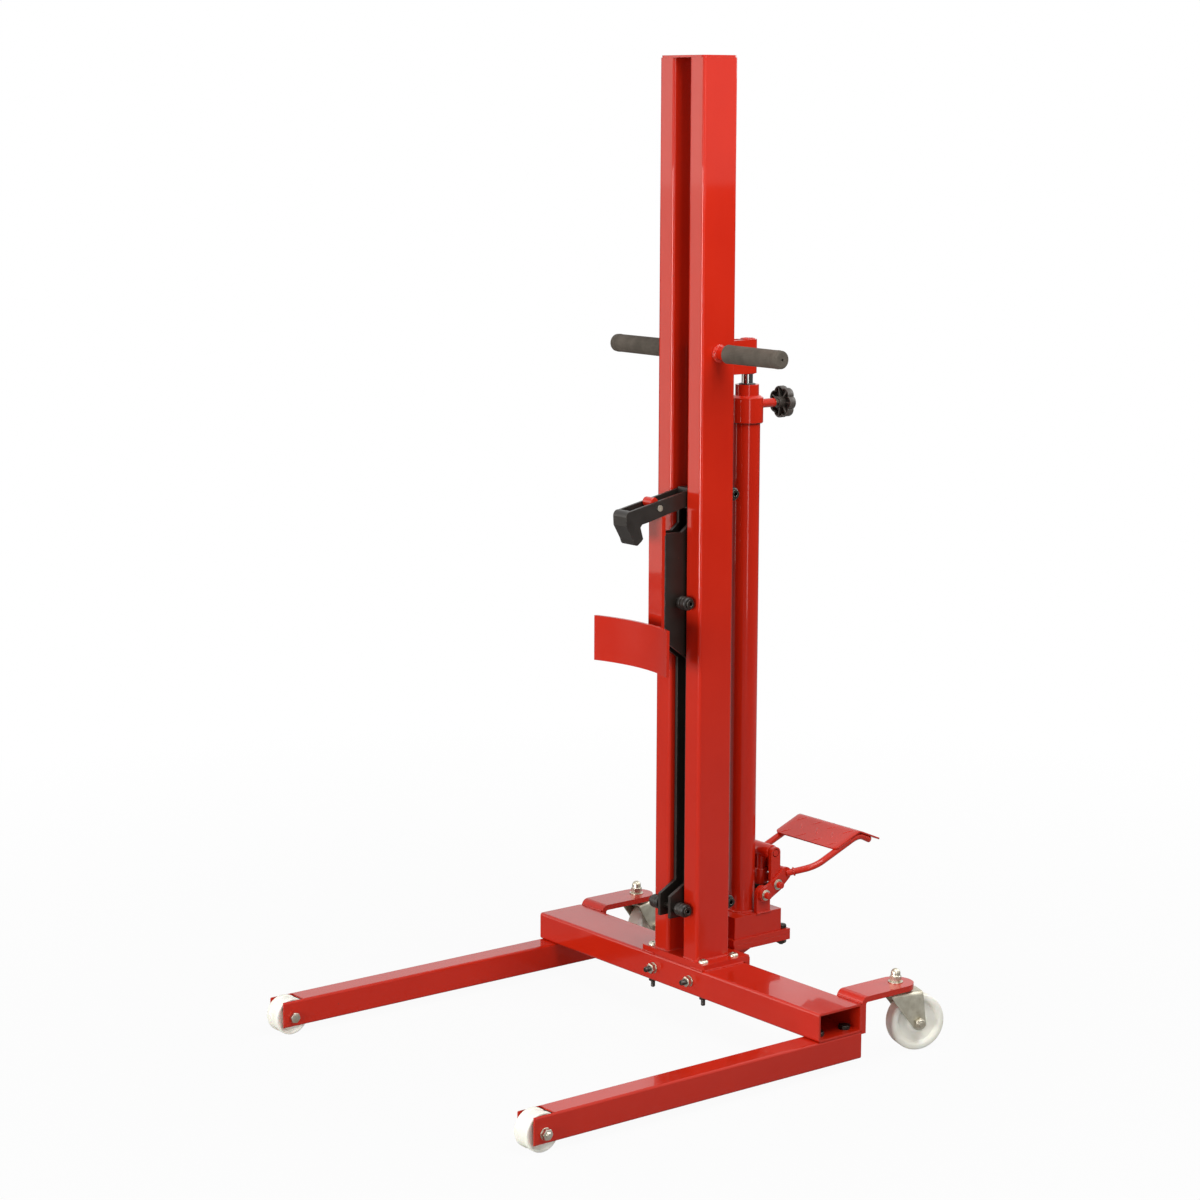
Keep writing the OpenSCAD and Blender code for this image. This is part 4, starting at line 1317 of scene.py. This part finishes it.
def build_floor(near, far):
    """A pale floor. It shows as near white, whiter far off, and still takes soft shadows."""
    reach = 40
    level = -0.5 * MM
    bm = bmesh.new()
    for x, y in ((-1, -1), (1, -1), (1, 1), (-1, 1)):
        bm.verts.new((x * reach, y * reach, level))
    bm.faces.new(bm.verts)
    mat = Shader("studio_floor", 0.9, Specular_IOR_Level=0.0)
    mat.finish((0.45, 0.45, 0.45, 1))
    away = mat.put(mat.add("ShaderNodeVectorMath", operation="LENGTH"), {0: mat.coords}).outputs["Value"]
    share = mat.ramp(away, 0.6, 2.6, near, far)
    glow = mat.put(mat.add("ShaderNodeEmission"), {"Color": (1, 1, 1, 1), "Strength": 1.0})
    seen = mat.times(seen_by(mat.tree, ("Is Camera Ray", "Is Transmission Ray")), share)
    blend(mat.tree, seen, mat.bsdf.outputs[0], glow.outputs[0], "Material Output")
    floor = mesh_object("floor", bm, mat.material)


build_world(0.15)
build_floor(0.95, 1.0)
lamp("key", (-3.0, -3.3, 1.35), (0, 0, 0.9), (2.0, 2.6), 36, (1.0, 0.94, 0.86))
lamp("front", (0.6, -4.2, 0.72), (0, 0, 0.9), (2.0, 1.4), 112)
lamp("strip", (3.8, -1.24, 1.0), (0, 0.1, 0.9), (0.6, 2.0), 15)
lamp("side", (1.6, 0.15, 2.55), (0, 0, 1.3), (1.5, 1.5), 44)
lamp("back", (0.7, 3.6, 2.6), (0, 0, 0.8), (2.0, 2.0), 50)
lamp("top", (0.2, -0.4, 4.4), (0, 0, 0.6), (2.0, 2.0), 40)

# Camera, fitted to the photograph. Its image is 1200 pixels square.

IMAGE = 1200.0
FOCAL = 2896.0
CENTER_X, CENTER_Y = 575.49, 515.72
YAW, PITCH, ROLL = math.radians(52.16), math.radians(8.148), math.radians(0.16)
camera = new_object("camera", bpy.data.cameras.new("camera"))
forward = Vector((-math.sin(YAW) * math.cos(PITCH), math.cos(YAW) * math.cos(PITCH), -math.sin(PITCH)))
right = Vector((math.cos(YAW), math.sin(YAW), 0))
up = right.cross(forward)
turn = Matrix.Rotation(-ROLL, 3, forward)
right, up = turn @ right, turn @ up
place = Matrix((right, up, -forward)).transposed().to_4x4()
place.translation = pt(3848.6, -3217.7, 1631.5)
camera.matrix_world = place
view = camera.data
view.sensor_width = 36.0
view.lens = view.sensor_width * FOCAL / IMAGE
view.shift_x = (IMAGE / 2 - CENTER_X) / IMAGE
view.shift_y = (CENTER_Y - IMAGE / 2) / IMAGE
view.clip_end = 100.0
bpy.context.scene.camera = camera
bpy.context.scene.view_settings.view_transform = "Standard"
